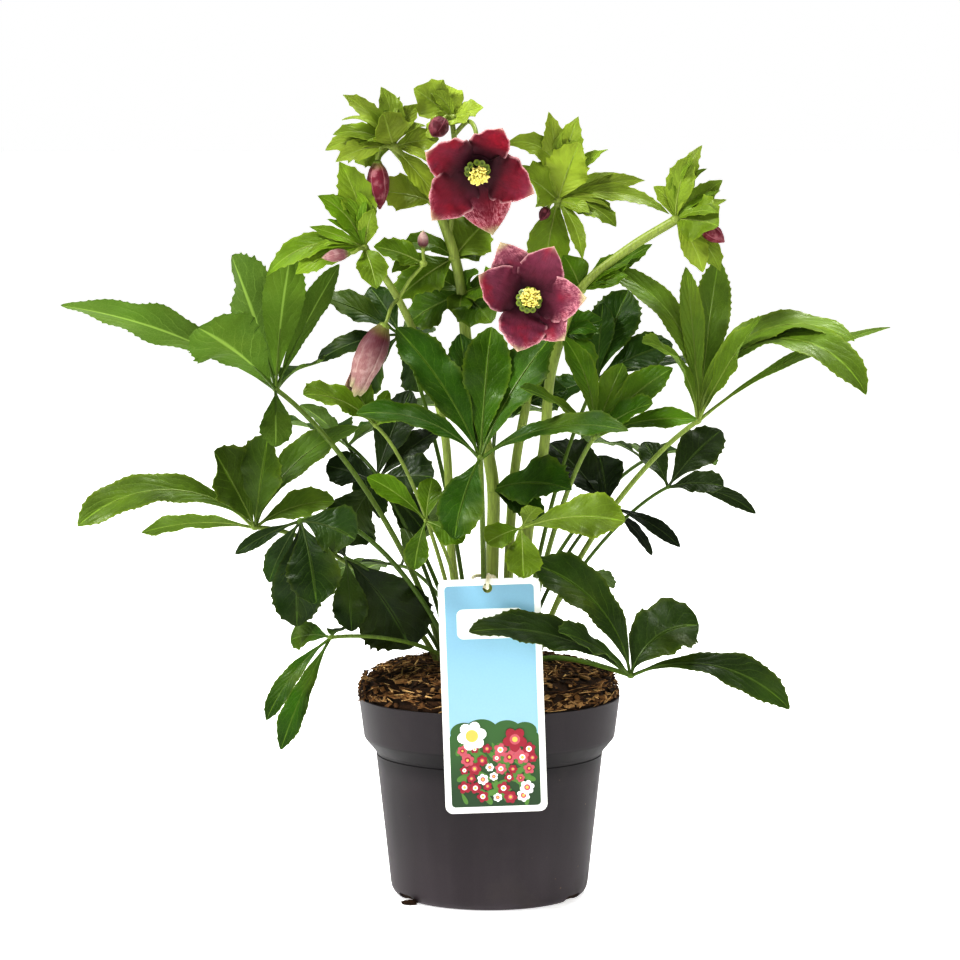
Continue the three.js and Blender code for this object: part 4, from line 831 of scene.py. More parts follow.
class Piece:
    """A piece in the making: its mesh, and the marks along, across and below it that its finish reads."""

    def __init__(self, name, *finishes):
        self.name = name
        self.finishes = finishes
        self.bm = bmesh.new()
        self.blade = self.bm.verts.layers.float_vector.new("blade")
        self.tone = self.bm.verts.layers.float.new("tone")
        self.lift = self.bm.verts.layers.float_vector.new("lift")

    def mark(self, verts, tone, span=0, under=0):
        for vert in verts:
            vert[self.tone] = tone
            vert[self.blade] = (span, 0, under)

    def take(self, shape, tone):
        """Adds a small shape that was made on its own."""
        marks = shape.verts.layers.float.new("tone")
        for vert in shape.verts:
            vert[marks] = tone
        mesh = bpy.data.meshes.new("shape")
        shape.to_mesh(mesh)
        shape.free()
        self.bm.from_mesh(mesh)
        bpy.data.meshes.remove(mesh)

    def tube(self, points, radii, sides, tone, finish=0, closed=False, spans=(0, 1), under=0):
        """A round bar along a row of points, with its ends filled, or closed into a loop."""
        count = len(points)
        across = square_to((points[1] - points[0]).normalized(), ASIDE)
        places = []
        for index, point in enumerate(points):
            ahead = points[(index + 1) % count] if closed else points[min(index + 1, count - 1)]
            behind = points[index - 1] if closed or index else points[0]
            along = (ahead - behind).normalized()
            across = square_to(along, across)
            places.append(frame_matrix(point, along, across, radii(index / (count - 1))))
        rings, faces = row_of_rings(self.bm, sides, places)
        for index, ring in enumerate(rings):
            self.mark(ring, tone, lerp(*spans, index / (count - 1)), under)
        ends = [open_edges(rings[0]), open_edges(rings[-1])]
        if closed:
            faces += bmesh.ops.bridge_loops(self.bm, edges=ends[0] + ends[1])["faces"]
        else:
            faces += [face for end in ends for face in bmesh.ops.edgeloop_fill(self.bm, edges=end)["faces"]]
        for face in faces:
            face.material_index = finish

    def knob(self, place, radius, tone, finish=0, stretch=(1, 1, 1), along=UP, span=0.5, fine=(10, 7)):
        """A small rounded swelling, drawn out along its own direction."""
        turn = frame_matrix(place, along, square_to(along, ASIDE)) @ Matrix.Diagonal((*stretch, 1))
        verts = bmesh.ops.create_uvsphere(
            self.bm, u_segments=fine[0], v_segments=fine[1], radius=radius, matrix=turn
        )["verts"]
        self.mark(verts, tone, span)
        for face in faces_at(verts):
            face.material_index = finish

    def leafy_blade(self, foot, reach, face, width, bend, shape, tone, luck, lift=UP, fold=0.0,
                    thickness=LEAF_THICKNESS, midrib=0, twist=0.0):
        """A thin blade bent along one arc, with a toothed and waved edge and a rib below its middle."""
        bm = self.bm
        chord = reach.normalized()
        upright = square_to(chord, lift)
        arc = math.radians(max(bend, 2))
        start = chord * math.cos(arc / 2) + upright * math.sin(arc / 2)
        inward = chord * math.sin(arc / 2) - upright * math.cos(arc / 2)
        radius = reach.length / (2 * math.sin(arc / 2))

        def spine(share):
            turned = arc * share
            return foot + start * (radius * math.sin(turned)) + inward * (radius * (1 - math.cos(turned)))

        def along_at(share):
            return start * math.cos(arc * share) + inward * math.sin(arc * share)

        def up_at(share, along):
            return about(along, twist * share**1.3, 3) @ square_to(along, face)

        teeth = max(4, round(reach.length / (shape.spacing * MM)))
        rows = len(SAW) * teeth
        bites = [luck.uniform(0.55, 1.15) for _ in range(teeth + 1)]
        phases = [luck.uniform(0, math.tau) for _ in range(3)]
        widest = shape.rise / (shape.rise + shape.fall)
        verts = bmesh.ops.create_grid(bm, x_segments=rows, y_segments=shape.across, size=1)["verts"]
        for vert in verts:
            share, rib = (vert.co.x + 1) / 2, vert.co.y
            row = round(share * rows)
            outline = (share / widest) ** shape.rise * ((1 - share) / (1 - widest)) ** shape.fall
            half = max(width / 2 * outline, BLADE_FOOT * MM * smooth((1 - share) * 12))
            edge = smooth((abs(rib) - 0.72) / 0.28)
            bite = bites[row // len(SAW)] * smooth((share - shape.bare) * 6) * min(1, outline * 1.6)
            saw = SAW[row % len(SAW)] - SAW_MIDDLE
            tooth = shape.tooth * width / 2 * bite * edge
            along = along_at(share)
            up = up_at(share, along)
            roll = shape.wave * half * math.sin(math.tau * 1.6 * share + phases[0])
            ripple = 0.09 * half * math.sin(math.tau * 4.3 * share + phases[1] + rib) * rib * rib
            cupped = half * (0.16 * abs(rib) ** 1.5 + fold * abs(rib))
            height = rib * roll + ripple + cupped - 0.05 * half * (rib == 0)
            vert.co = (
                spine(share)
                + up.cross(along) * (rib * half + math.copysign(tooth * saw, rib))
                + along * (tooth * max(saw, 0) * 0.9)
                + up * height
            )
            vert[self.blade] = (share, rib, 0)
            vert[self.lift] = up
            vert[self.tone] = tone
        below = doubled(bm, faces_at(verts))
        for vert in below:
            share, rib, _ = vert[self.blade]
            vert.co -= vert[self.lift] * (thickness * MM * (1 - 0.4 * abs(rib)))
            vert[self.blade] = (share, rib, 1)
        bmesh.ops.remove_doubles(bm, verts=[v for v in verts if v.is_valid] + below, dist=2e-5)
        if midrib:
            shares = [0.86 * step / 9 for step in range(10)]
            ribs = [spine(s) - up_at(s, along_at(s)) * (thickness * MM * 0.8) for s in shares]
            self.tube(ribs, lambda s: lerp(midrib, 0.25, s**0.7) * MM, 6, tone, finish=1, spans=(0.3, 0.9))

    def make(self, *nodes, slot, sharp=50):
        """Closes the mesh, shades it and sets it in place of its CAD nodes."""
        for face in self.bm.faces:
            face.smooth = True
        bmesh.ops.recalc_face_normals(self.bm, faces=self.bm.faces)
        self.bm.verts.layers.float_vector.remove(self.lift)
        piece = as_object(self.name, self.bm)
        piece.data.set_sharp_from_angle(angle=math.radians(sharp))
        for finish in self.finishes:
            piece.data.materials.append(finish)
        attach(piece, "root")
        if nodes:
            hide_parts(*nodes)
        return piece


# ---------------------------------------------------------------------------------------------
# Leaves and flowering stems
# ---------------------------------------------------------------------------------------------


def in_soil(root):
    """The foot of a stalk in its hole, and where it leaves the compost."""
    x, y = root
    return mm((x, y, SOIL_CENTRE_HEIGHT - HOLE_DEPTH + 0.5)), mm((x, y, SOIL_CENTRE_HEIGHT + 1.6))


def stalk_path(leaf, steps=22):
    """A stalk's arch from the crown to where the leaflets meet."""
    bottom, ground = in_soil(leaf.root)
    top = mm(leaf.hub)
    run = top - ground
    low = ground + Vector((0.1 * run.x, 0.1 * run.y, max(0.35 * run.z, 0.18 * run.length)))
    high = ground + Vector((0.62 * run.x, 0.62 * run.y, 0.8 * run.z + leaf.arch * run.length))
    path = [bottom]
    for step in range(steps + 1):
        s = step / steps
        path.append(
            ground * (1 - s) ** 3 + low * (3 * s * (1 - s) ** 2) + high * (3 * s * s * (1 - s)) + top * s**3
        )
    return path


def spread(piece, hub, face, blades, shape, tone, midrib, luck):
    """Blades spread from one meeting point."""
    for x, y, z, width, bend in blades:
        reach = mm((x, y, z))
        setback = reach.normalized() * FOOT_SETBACK * MM
        piece.leafy_blade(
            mm(hub) + setback, reach - setback, Vector(face), width * MM, bend, shape,
            tone + luck.uniform(-0.08, 0.08), luck, midrib=midrib, twist=luck.uniform(-1, 1) * shape.twist,
        )


def make_leaf(name, leaf):
    luck = random.Random(name)
    piece = Piece(name + "_skin", PAINTED_SHEEN_LEAF_SKIN if name in PAINTED_SHEEN_LEAVES else LEAF_SKIN, STALK_SKIN)
    path = stalk_path(leaf)
    stalk_tone = 0.3 + 0.65 * leaf.tone
    piece.tube(path, lambda s: leaf.radius * lerp(1.1, 0.82, s**0.6) * MM, 10, stalk_tone, finish=1)
    along = (path[-1] - path[-2]).normalized()
    piece.knob(path[-1], leaf.radius * 1.12 * MM, stalk_tone, finish=1, stretch=(1, 1, 1.35), along=along)
    spread(piece, leaf.hub, leaf.face, leaf.leaflets, LEAFLET, leaf.tone, leaf.radius * 0.62, luck)
    piece.make(name, slot="young_leaf" if "young" in name else "old_leaf")


def slips_between(blades, luck):
    """Slim young bracts that curl out between the larger ones of a cluster, or beside the few."""
    slips = []
    order = sorted(blades, key=lambda blade: math.atan2(blade[2], blade[0]))
    if len(order) < 4:
        for x, y, z, width, _ in order:
            turn = about("Y", luck.choice((-1, 1)) * luck.uniform(0.6, 1.0), 3)
            reach = turn @ Vector((x, y, z)) * luck.uniform(0.6, 0.8)
            slips.append((*reach, 0.5 * width, luck.uniform(25, 80)))
        return slips
    for here, there in zip(order, order[1:] + order[:1]):
        first, second = Vector(here[:3]), Vector(there[:3])
        if first.angle(second) > math.radians(80):
            continue
        length = (first.length + second.length) / 2 * luck.uniform(0.62, 0.9)
        stray = Vector((0, luck.uniform(-9, 3), luck.uniform(-3, 3)))
        reach = (first + second).normalized() * length + stray
        slips.append((*reach, 0.22 * (here[3] + there[3]), luck.uniform(25, 95)))
    return slips


def seat_of(name):
    """Where a twig ends under the bud or flower that it carries, and the way it goes there."""
    if name in BUDS:
        return mm(BUDS[name].base), Vector(BUDS[name].axis).normalized()
    axis = Vector(FLOWERS[name].axis).normalized()
    return mm(FLOWERS[name].centre) + axis * RECEPTACLE[0][0] * MM, axis


def make_stem(name, stem):
    luck = random.Random(name)
    piece = Piece(name + "_skin", LEAF_SKIN, STALK_SKIN)
    first, last = stem.radii
    low, high = BRACT_HEIGHTS
    path = round_path([*in_soil(stem.root), *map(mm, stem.path)], 14 * len(stem.path))
    piece.tube(path, lambda s: lerp(first, last, s) * MM, 12, 0.92, finish=1)
    piece.knob(path[-1], last * MM, 0.92, finish=1)
    for twig, radii, carried in stem.twigs:
        points = [mm(point) for point in twig]
        if carried:
            seat, axis = seat_of(carried)
            points += [seat - axis * 4 * MM, seat - axis * 0.2 * MM]
        path = round_path(points, 9 * (len(points) - 1))
        piece.tube(path, lambda s: lerp(*radii, s) * MM, 9, 0.85, finish=1, spans=(0.5, 1))
    for hub, bracts in stem.clusters.items():
        piece.knob(mm(hub), 1.3 * last * MM, 0.9, finish=1, stretch=(1, 1, 0.8))
        tone = lerp(*BRACT_TONES, smooth((hub[2] - low) / (high - low)))
        spread(piece, hub, BRACT_FACE, bracts, BRACT, tone, 0.9, luck)
        slip_luck = random.Random(str(list(hub)))
        slips = slips_between(bracts, slip_luck)
        spread(piece, hub, BRACT_FACE, slips, BRACT, tone, 0.5, slip_luck)
    piece.make(name, slot="green_stem")


# ---------------------------------------------------------------------------------------------
# Buds and flowers
# ---------------------------------------------------------------------------------------------


def girth(share):
    """How thick a bud is at a share of its length."""
    for (low, thin), (high, wide) in zip(BUD_GIRTHS, BUD_GIRTHS[1:]):
        if share <= high:
            return lerp(thin, wide, (share - low) / (high - low))
    return BUD_GIRTHS[-1][1]


def make_bud(name, bud):
    """Five folded sepals, each lying over one neighbour and under the other, round a closed middle."""
    piece = Piece(name + "_skin", BUD_SKIN, STALK_SKIN)
    along = Vector(bud.axis).normalized()
    across = square_to(along, ASIDE)
    up = along.cross(across)
    base, length, half = mm(bud.base), bud.length * MM, bud.width / 2 * MM
    for fold in range(BUD_SEPALS):
        verts = bmesh.ops.create_grid(piece.bm, x_segments=22, y_segments=10, size=1)["verts"]
        for vert in verts:
            share, rib = (vert.co.x + 1) / 2, vert.co.y
            angle = math.radians(fold * 360 / BUD_SEPALS + rib * 58 * (1 - 0.35 * share**3))
            swell = (girth(max(share - 0.04, 0)) + girth(share) + girth(min(share + 0.04, 1))) / 3
            radius = half * swell * (1 + 0.075 * rib) - half * 0.03 * abs(rib) ** 4
            parted = bud.parting * smooth((share - 0.62) / 0.38)
            radius += half * parted * (0.3 + 0.2 * math.sin(fold * 1.7 + 3 * rib))
            way = across * math.cos(angle) + up * math.sin(angle)
            height = length * (share + (0.012 + 0.05 * parted) * math.sin(fold * 2.4))
            vert.co = base + along * height + way * radius
            vert[piece.blade] = (share, rib, 0)
            vert[piece.lift] = way
            vert[piece.tone] = bud.tone
        for vert in doubled(piece.bm, faces_at(verts)):
            vert.co -= vert[piece.lift] * (0.045 * half)
    piece.knob(
        base + along * (0.5 * length), half * 0.8, bud.tone, stretch=(1, 1, 0.5 * length / (half * 0.86)),
        along=along, fine=(12, 10),
    )
    piece.knob(base, half * 0.42, 0.8, finish=1, stretch=(1, 1, 0.7), along=along)
    piece.make(name, slot="bud_sepal")


class Bloom:
    """A flower's own directions: out along its axis, and up and to the right across its face."""

    def __init__(self, flower):
        self.centre = mm(flower.centre)
        self.out = Vector(flower.axis).normalized()
        self.up = square_to(self.out, UP)
        self.right = self.up.cross(self.out)

    def at(self, x, y, height):
        return self.centre + (self.right * x + self.up * y + self.out * height) * MM

    def round(self, radius, degrees, height):
        angle = math.radians(degrees)
        return self.at(radius * math.cos(angle), radius * math.sin(angle), height)


def make_sepals(name, flower):
    """The cup of sepals, with the receptacle behind them and the dish that closes the throat."""
    skin = sepal_skin(name + "_skin", flower.dusk)
    piece = Piece(name + "_sepals_skin", skin, STALK_SKIN)
    bloom = Bloom(flower)
    luck = random.Random(name)
    slope = math.radians(CUP_SLOPE + CUP_BEND / 2)
    for angle, length, width, behind, veining in flower.sepals:
        turn = math.radians(angle)
        outward = bloom.right * math.cos(turn) + bloom.up * math.sin(turn)
        reach = (outward * math.cos(slope) + bloom.out * math.sin(slope)) * length * MM
        foot = bloom.round(SEPAL_FOOT_RADIUS, angle, -BACK_SEPAL_OFFSET if behind else 0)
        piece.leafy_blade(
            foot, reach, -bloom.out, width * MM, CUP_BEND, SEPAL, veining, luck, lift=-bloom.out, fold=-0.2,
            thickness=SEPAL_THICKNESS,
        )
    for profile, sides in ((RECEPTACLE, 20), (DISH, 30)):
        points = [bloom.at(0, 0, height) for height, _ in profile]
        piece.tube(points, lambda s: profile[round(s * 3)][1] * MM, sides, 0, spans=(0.1, 0.1), under=1)
    piece.make(name + "_sepals", slot="plum_sepal")


def make_nectaries(name, flower):
    """A ring of short funnels, leaning outward."""
    piece = Piece(name + "_nectaries_skin", NECTARY_SKIN)
    bloom = Bloom(flower)
    luck = random.Random(name + "n")
    (near, low), (far, high) = NECTARY_FOOT, NECTARY_MOUTH
    for tube in range(NECTARIES):
        degrees = 360 * (tube + luck.uniform(-0.15, 0.15)) / NECTARIES
        foot = bloom.round(near, degrees, low)
        mouth = bloom.round(far, degrees, high + luck.uniform(-0.5, 0.3))
        along = (mouth - foot).normalized()
        across = square_to(along, bloom.out)
        places = [frame_matrix(foot.lerp(mouth, share), along, across, wide * MM) for share, wide in NECTARY]
        rings, _ = row_of_rings(piece.bm, 10, places)
        for ring, (share, _) in zip(rings, NECTARY):
            piece.mark(ring, 0.5, share, ring is rings[-1])
        for ring in (rings[0], rings[-1]):
            bmesh.ops.edgeloop_fill(piece.bm, edges=open_edges(ring))
    piece.make(name + "_nectaries", slot="green_nectary")


def make_stamens(name, flower):
    """A tuft of threads with pollen heads, spread by the golden angle, round a few styles."""
    piece = Piece(name + "_stamens_skin", STAMEN_SKIN)
    bloom = Bloom(flower)
    luck = random.Random(name + "s")
    lean_x, lean_y = flower.drift
    foot_radius, bow_radius, end_radius = STAMEN_RADII
    foot_height, bow_height, end_height = STAMEN_HEIGHTS
    middle = bloom.at(0.4 * lean_x, 0.4 * lean_y, 6.6)
    piece.knob(middle, 3.7 * MM, 0.5, stretch=(1, 1, 0.8), along=bloom.out, span=0.25)
    for thread in range(STAMENS):
        share = math.sqrt((thread + 0.5) / STAMENS)
        degrees = thread * GOLDEN_ANGLE + luck.uniform(-16, 16)
        height = end_height - 2.2 * share**2 + luck.choice((0, 0, -1.6, -3)) + luck.uniform(-0.7, 0.5)
        foot = bloom.round(foot_radius * share, degrees, foot_height)
        bow = bloom.round(bow_radius * share, degrees, bow_height)
        end = bloom.round(end_radius * share + luck.uniform(-0.5, 0.6), degrees, height)
        end += (bloom.right * lean_x + bloom.up * lean_y) * luck.uniform(0.5, 1.2) * MM
        piece.tube(round_path([foot, bow, end], 4), lambda s: STAMEN_RADIUS * MM, 4, 0.5)
        along = (end - bow).normalized()
        piece.knob(
            end, POLLEN_RADIUS * MM, 0.5, stretch=(1, 0.8, 1.35), along=along, span=1.0, fine=(7, 5)
        )
    for style in range(STYLES):
        degrees = 360 / STYLES * style + 20
        foot, bow = bloom.round(0.9, degrees, foot_height), bloom.round(1.0, degrees, 9)
        end = bloom.round(1.8, degrees + 30, 13)
        piece.tube(round_path([foot, bow, end], 6), lambda s: STYLE_RADIUS * MM, 6, 0.5, spans=(0, 0.4))
    piece.make(name + "_stamens", slot="yellow_stamen")


# ---------------------------------------------------------------------------------------------
# Pot and compost
# ---------------------------------------------------------------------------------------------


def rounded(profile, rounding, steps=5):
    """A profile up to its last corner, with each corner after the first eased into a short curve."""
    points = [Vector(profile[0])]
    for behind, corner, ahead, ease in zip(profile, profile[1:], profile[2:], rounding):
        here = Vector(corner)
        start = here + (Vector(behind) - here).normalized() * ease
        end = here + (Vector(ahead) - here).normalized() * ease
        for step in range(steps + 1):
            s = step / steps
            points.append(start * (1 - s) ** 2 + here * (2 * s * (1 - s)) + end * s * s)
    return points


def spun(piece, profile, steps, tone=0.5):
    """Turns a profile of radius and height about the upright axis into a closed shell."""
    bm = piece.bm
    verts = [bm.verts.new((radius * MM, 0, height * MM)) for radius, height in profile]
    edges = [bm.edges.new(pair) for pair in zip(verts, verts[1:])]
    bmesh.ops.spin(
        bm, geom=verts + edges, axis=UP, cent=(0, 0, 0), steps=steps, angle=math.tau, use_merge=True
    )
    bmesh.ops.remove_doubles(bm, verts=bm.verts, dist=1e-5)
    piece.mark(bm.verts, tone)


def make_pot():
    """The pot with its rim band, slanted shoulder and fine seam, and the drain notches cut from its foot."""
    piece = Piece("pot_shell", POT_PLASTIC)
    outside = rounded(POT_OUTSIDE, POT_ROUNDING)
    shoulder = next(i for i, point in enumerate(outside) if point.y > SHOULDER_HEIGHT)
    outside[shoulder:shoulder] = [Vector(point) for point in POT_SEAM]
    inside = [Vector((radius - POT_WALL, max(height, POT_WALL))) for radius, height in reversed(outside[1:])]
    spun(piece, [(0, 0), *outside, *POT_LIP, *inside, (0, POT_WALL)], 128)
    pot = piece.make("pot", slot="pot_plastic", sharp=40)
    inner, outer = NOTCH_REACH
    size = Matrix.Diagonal(((outer - inner) * MM, NOTCH_WIDTH * MM, 2 * NOTCH_HEIGHT * MM, 1))
    shift = Matrix.Translation(((inner + outer) / 2 * MM, 0, 0))
    for degrees in DRAIN_NOTCHES:
        block = bmesh.new()
        bmesh.ops.create_cube(block, size=1)
        turn = about("Z", math.radians(degrees))
        bmesh.ops.transform(block, matrix=turn @ shift @ size, verts=block.verts)
        upper = [edge for edge in block.edges if all(vert.co.z > 0 for vert in edge.verts)]
        bmesh.ops.bevel(
            block, geom=upper, offset=NOTCH_CORNER * MM, offset_type="OFFSET", segments=4, profile=0.5,
            affect="EDGES", material=-1,
        )
        cut(pot, "notch", block)


def soil_height(radius):
    share = max(0.0, (radius - CROWN_RADIUS) / (RIM_RADIUS - CROWN_RADIUS))
    return lerp(SOIL_CENTRE_HEIGHT, SOIL_EDGE_HEIGHT, share**3)


def lay_chip(piece, luck, by_rim):
    """One bent fibre or rough flake, flat on the mound or over its edge by the rim."""
    kind = FIBRE if luck.random() < 0.5 else FLAKE
    long, wide = luck.uniform(*kind.lengths), luck.uniform(*kind.widths)
    angle = luck.uniform(0, math.tau)
    if by_rim:
        rise = luck.random()
        spilt = SPILL if abs(angle - math.pi) < SPILL_ANGLE else 0
        radius = lerp(*RIM_CHIP_RADII, rise**2) + spilt
        height = lerp(RIM_CHIP_FOOT, soil_height(78) + 1, rise)
        slope = -85 * (1 - rise)
        twist, lean = math.pi / 2 + luck.uniform(-0.5, 0.5), luck.uniform(-10, 10)
    else:
        radius = (CHIPS_WITHIN - long / 2) * math.sqrt(luck.random())
        height = soil_height(radius) + luck.uniform(0.2, 2.4)
        slope = math.degrees(math.atan2(soil_height(radius + 1) - soil_height(radius - 1), 2))
        twist, lean = luck.uniform(0, math.tau), luck.uniform(-14, 14)
    turn = about("Z", angle) @ about("Y", math.radians(-slope))
    turn = turn @ about("Z", twist) @ about("Y", math.radians(lean))
    place = Matrix.Translation(mm((radius * math.cos(angle), radius * math.sin(angle), height)))
    size = Matrix.Diagonal((long * MM, wide * MM, wide * MM * luck.uniform(0.3, 0.7), 1))
    chip = bmesh.new()
    bmesh.ops.create_cube(chip, size=1)
    edges = [e for e in chip.edges if abs(e.verts[0].co.x - e.verts[1].co.x) > 0.5]
    bmesh.ops.subdivide_edges(chip, edges=edges, cuts=2, use_grid_fill=True)
    bow, thin = luck.uniform(-0.4, 0.4), luck.uniform(0.1, 0.7)
    for vert in chip.verts:
        taper = 1 - thin * (2 * abs(vert.co.x)) ** 2
        vert.co.y = vert.co.y * taper + bow * (0.25 - vert.co.x**2) * long / wide * 0.5
        vert.co.z *= taper
        if kind is FLAKE:
            vert.co += Vector([luck.uniform(-0.12, 0.12) for _ in range(3)])
    bmesh.ops.transform(chip, matrix=place @ turn @ size, verts=chip.verts)
    piece.take(chip, luck.choice(kind.tones) + luck.uniform(-0.05, 0.05))


def make_soil():
    """The mound that fills the pot, with chips, flakes and torn fibres lying over it."""
    piece = Piece("compost", BARK)
    radii = [SOIL_TOP_RADIUS * (1 - ring / SOIL_TOP_RINGS) for ring in range(SOIL_TOP_RINGS + 1)]
    spun(piece, [(0, 2), *SOIL_SIDE, *[(radius, soil_height(radius)) for radius in radii]], 150, 0.14)
    for vert in piece.bm.verts:
        if vert.co.z > ROUGH_FROM * MM:
            vert.co.z += noise.fractal(vert.co * 160, 1.0, 2.0, 4) * ROUGHNESS * MM
            vert[piece.tone] = 0.14 + 0.3 * noise.noise(vert.co * 420)
    luck = random.Random(7)
    for chip in range(CHIPS):
        lay_chip(piece, luck, by_rim=chip % 3 == 0)
    piece.make("soil", slot="bark_compost", sharp=35)


def make_crumb():
    """A damp lump of compost that has come out of one drain notch."""
    piece = Piece("stray_crumb", BARK)
    for radius, shift, stretch in CRUMB_LUMPS:
        verts = bmesh.ops.create_icosphere(piece.bm, subdivisions=3, radius=radius * MM)["verts"]
        for vert in verts:
            vert.co *= 1 + 0.5 * noise.fractal(vert.co * 700, 1.0, 2.0, 3)
            vert.co = mm(CRUMB_PLACE) + mm(shift) + Vector([c * s for c, s in zip(vert.co, stretch)])
            vert.co.z = max(vert.co.z, 0.3 * MM)
            vert[piece.tone] = 0.16 + 0.2 * noise.noise(vert.co * 600)
    piece.make(slot="bark_compost", sharp=60)


# ---------------------------------------------------------------------------------------------
# Label
# ---------------------------------------------------------------------------------------------

LABEL_PLACE = (
    Matrix.Translation(mm(LABEL_CENTRE))
    @ about("Y", math.radians(-LABEL_TILT))
    @ about("X", math.radians(90))
)
HILLS = ((-19, 17), (-8, 22), (8, 19), (19.5, 15))  # how far aside and how wide
HILL_HEIGHT = -23  # from the card's centre
MEADOW_SIZE = (FIELD_SIZE[0] + 0.1, 46.6)
MEADOW_HEIGHT = -47.1
PRINTED_LEAVES = 44
FLOWER_ROWS = 6
FLOWER_SPACING = 8.2
LAYERS = 5  # of ink in one printed flower
BIG_FLOWERS = ((-14, -25, 19, 6, WHITE, YELLOW, 0.2), (13, -28, 16, 5, RED, PINK, 0.9))
FLOWER_INKS = ((RED, PINK), (RED, PINK), (PINK, RED), (PINK, WHITE), (RED, WHITE), (WHITE, PINK))


def slab(bm, verts, thickness, place, finish):
    """Gives a flat shape a thickness towards the front and sets it at a place on the card."""
    lifted = doubled(bm, faces_at(verts))
    for vert in lifted:
        vert.co.z += thickness * MM
    verts = [*verts, *lifted]
    bmesh.ops.transform(bm, matrix=LABEL_PLACE @ Matrix.Translation(mm(place)), verts=verts)
    for face in faces_at(verts):
        face.material_index = finish


def rounded_sheet(bm, size, corner, thickness, place, finish=0):
    """A thin flat slab with round corners."""
    verts = bmesh.ops.create_grid(bm, x_segments=1, y_segments=1, size=0.5)["verts"]
    bmesh.ops.transform(bm, matrix=Matrix.Diagonal((size[0] * MM, size[1] * MM, 1, 1)), verts=verts)
    made = bmesh.ops.bevel(
        bm, geom=verts, offset=corner * MM, offset_type="OFFSET", segments=9, profile=0.5,
        affect="VERTICES", material=-1,
    )
    slab(bm, made["verts"], thickness, place, finish)


def print_oval(bm, shape, segments, place, finish):
    """A printed disc, drawn out and turned by a matrix."""
    verts = bmesh.ops.create_circle(bm, cap_ends=True, segments=segments, radius=1)["verts"]
    bmesh.ops.transform(bm, matrix=shape, verts=verts)
    slab(bm, verts, PRINT_THICKNESS, place, finish)


def print_flower(bm, x, y, size, petals, level, finish, flush, turn):
    """A plain round flower: oval petals, a flush and a round heart, each a step over the last."""
    span = size * MM
    oval = Matrix.Translation((0.27 * span, 0, 0)) @ Matrix.Diagonal((0.23 * span, 0.2 * span, 1, 1))
    for petal in range(petals):
        layer = 2 if petal == petals - 1 else petal % 2
        shape = about("Z", math.tau * petal / petals + turn) @ oval
        print_oval(bm, shape, 12, (x, y, level + layer * PRINT_STEP), finish)
    for layer, share, ink in ((3, 0.21, flush), (4, 0.11, YELLOW)):
        print_oval(bm, Matrix.Scale(share * span, 4), 14, (x, y, level + layer * PRINT_STEP), ink)


def print_leaf(bm, x, y, size, degrees, level):
    """A plain pointed leaf."""
    verts = bmesh.ops.create_circle(bm, cap_ends=True, segments=20, radius=1)["verts"]
    for vert in verts:
        vert.co.y *= 0.3 * (1 - 0.5 * vert.co.x)
    turn = about("Z", math.radians(degrees)) @ Matrix.Scale(size / 2 * MM, 4)
    bmesh.ops.transform(bm, matrix=turn, verts=verts)
    slab(bm, verts, PRINT_THICKNESS, (x, y, level), LEAF)


def punch_hole(card):
    """Drills the strap's hole through a sheet."""
    drill = bmesh.new()
    radius = LABEL_HOLE_RADIUS * MM
    bmesh.ops.create_cone(drill, cap_ends=True, segments=32, radius1=radius, radius2=radius, depth=6 * MM)
    bmesh.ops.transform(drill, matrix=LABEL_PLACE @ Matrix.Translation(mm(LABEL_HOLE)), verts=drill.verts)
    cut(card, "drill", drill)


def make_label():
    """The white card, and the coloured field printed inside its border."""
    card = Piece("label_card", INKS[WHITE])
    rounded_sheet(card.bm, LABEL_SIZE, LABEL_CORNER, LABEL_THICKNESS, (0, 0, 0))
    punch_hole(card.make("label", slot="label_card", sharp=30))
    field = Piece("label_sky", SKY)
    rounded_sheet(field.bm, FIELD_SIZE, FIELD_CORNER, PRINT_THICKNESS, (0, 0, LABEL_THICKNESS + 0.01))
    punch_hole(field.make(slot="label_card", sharp=30))


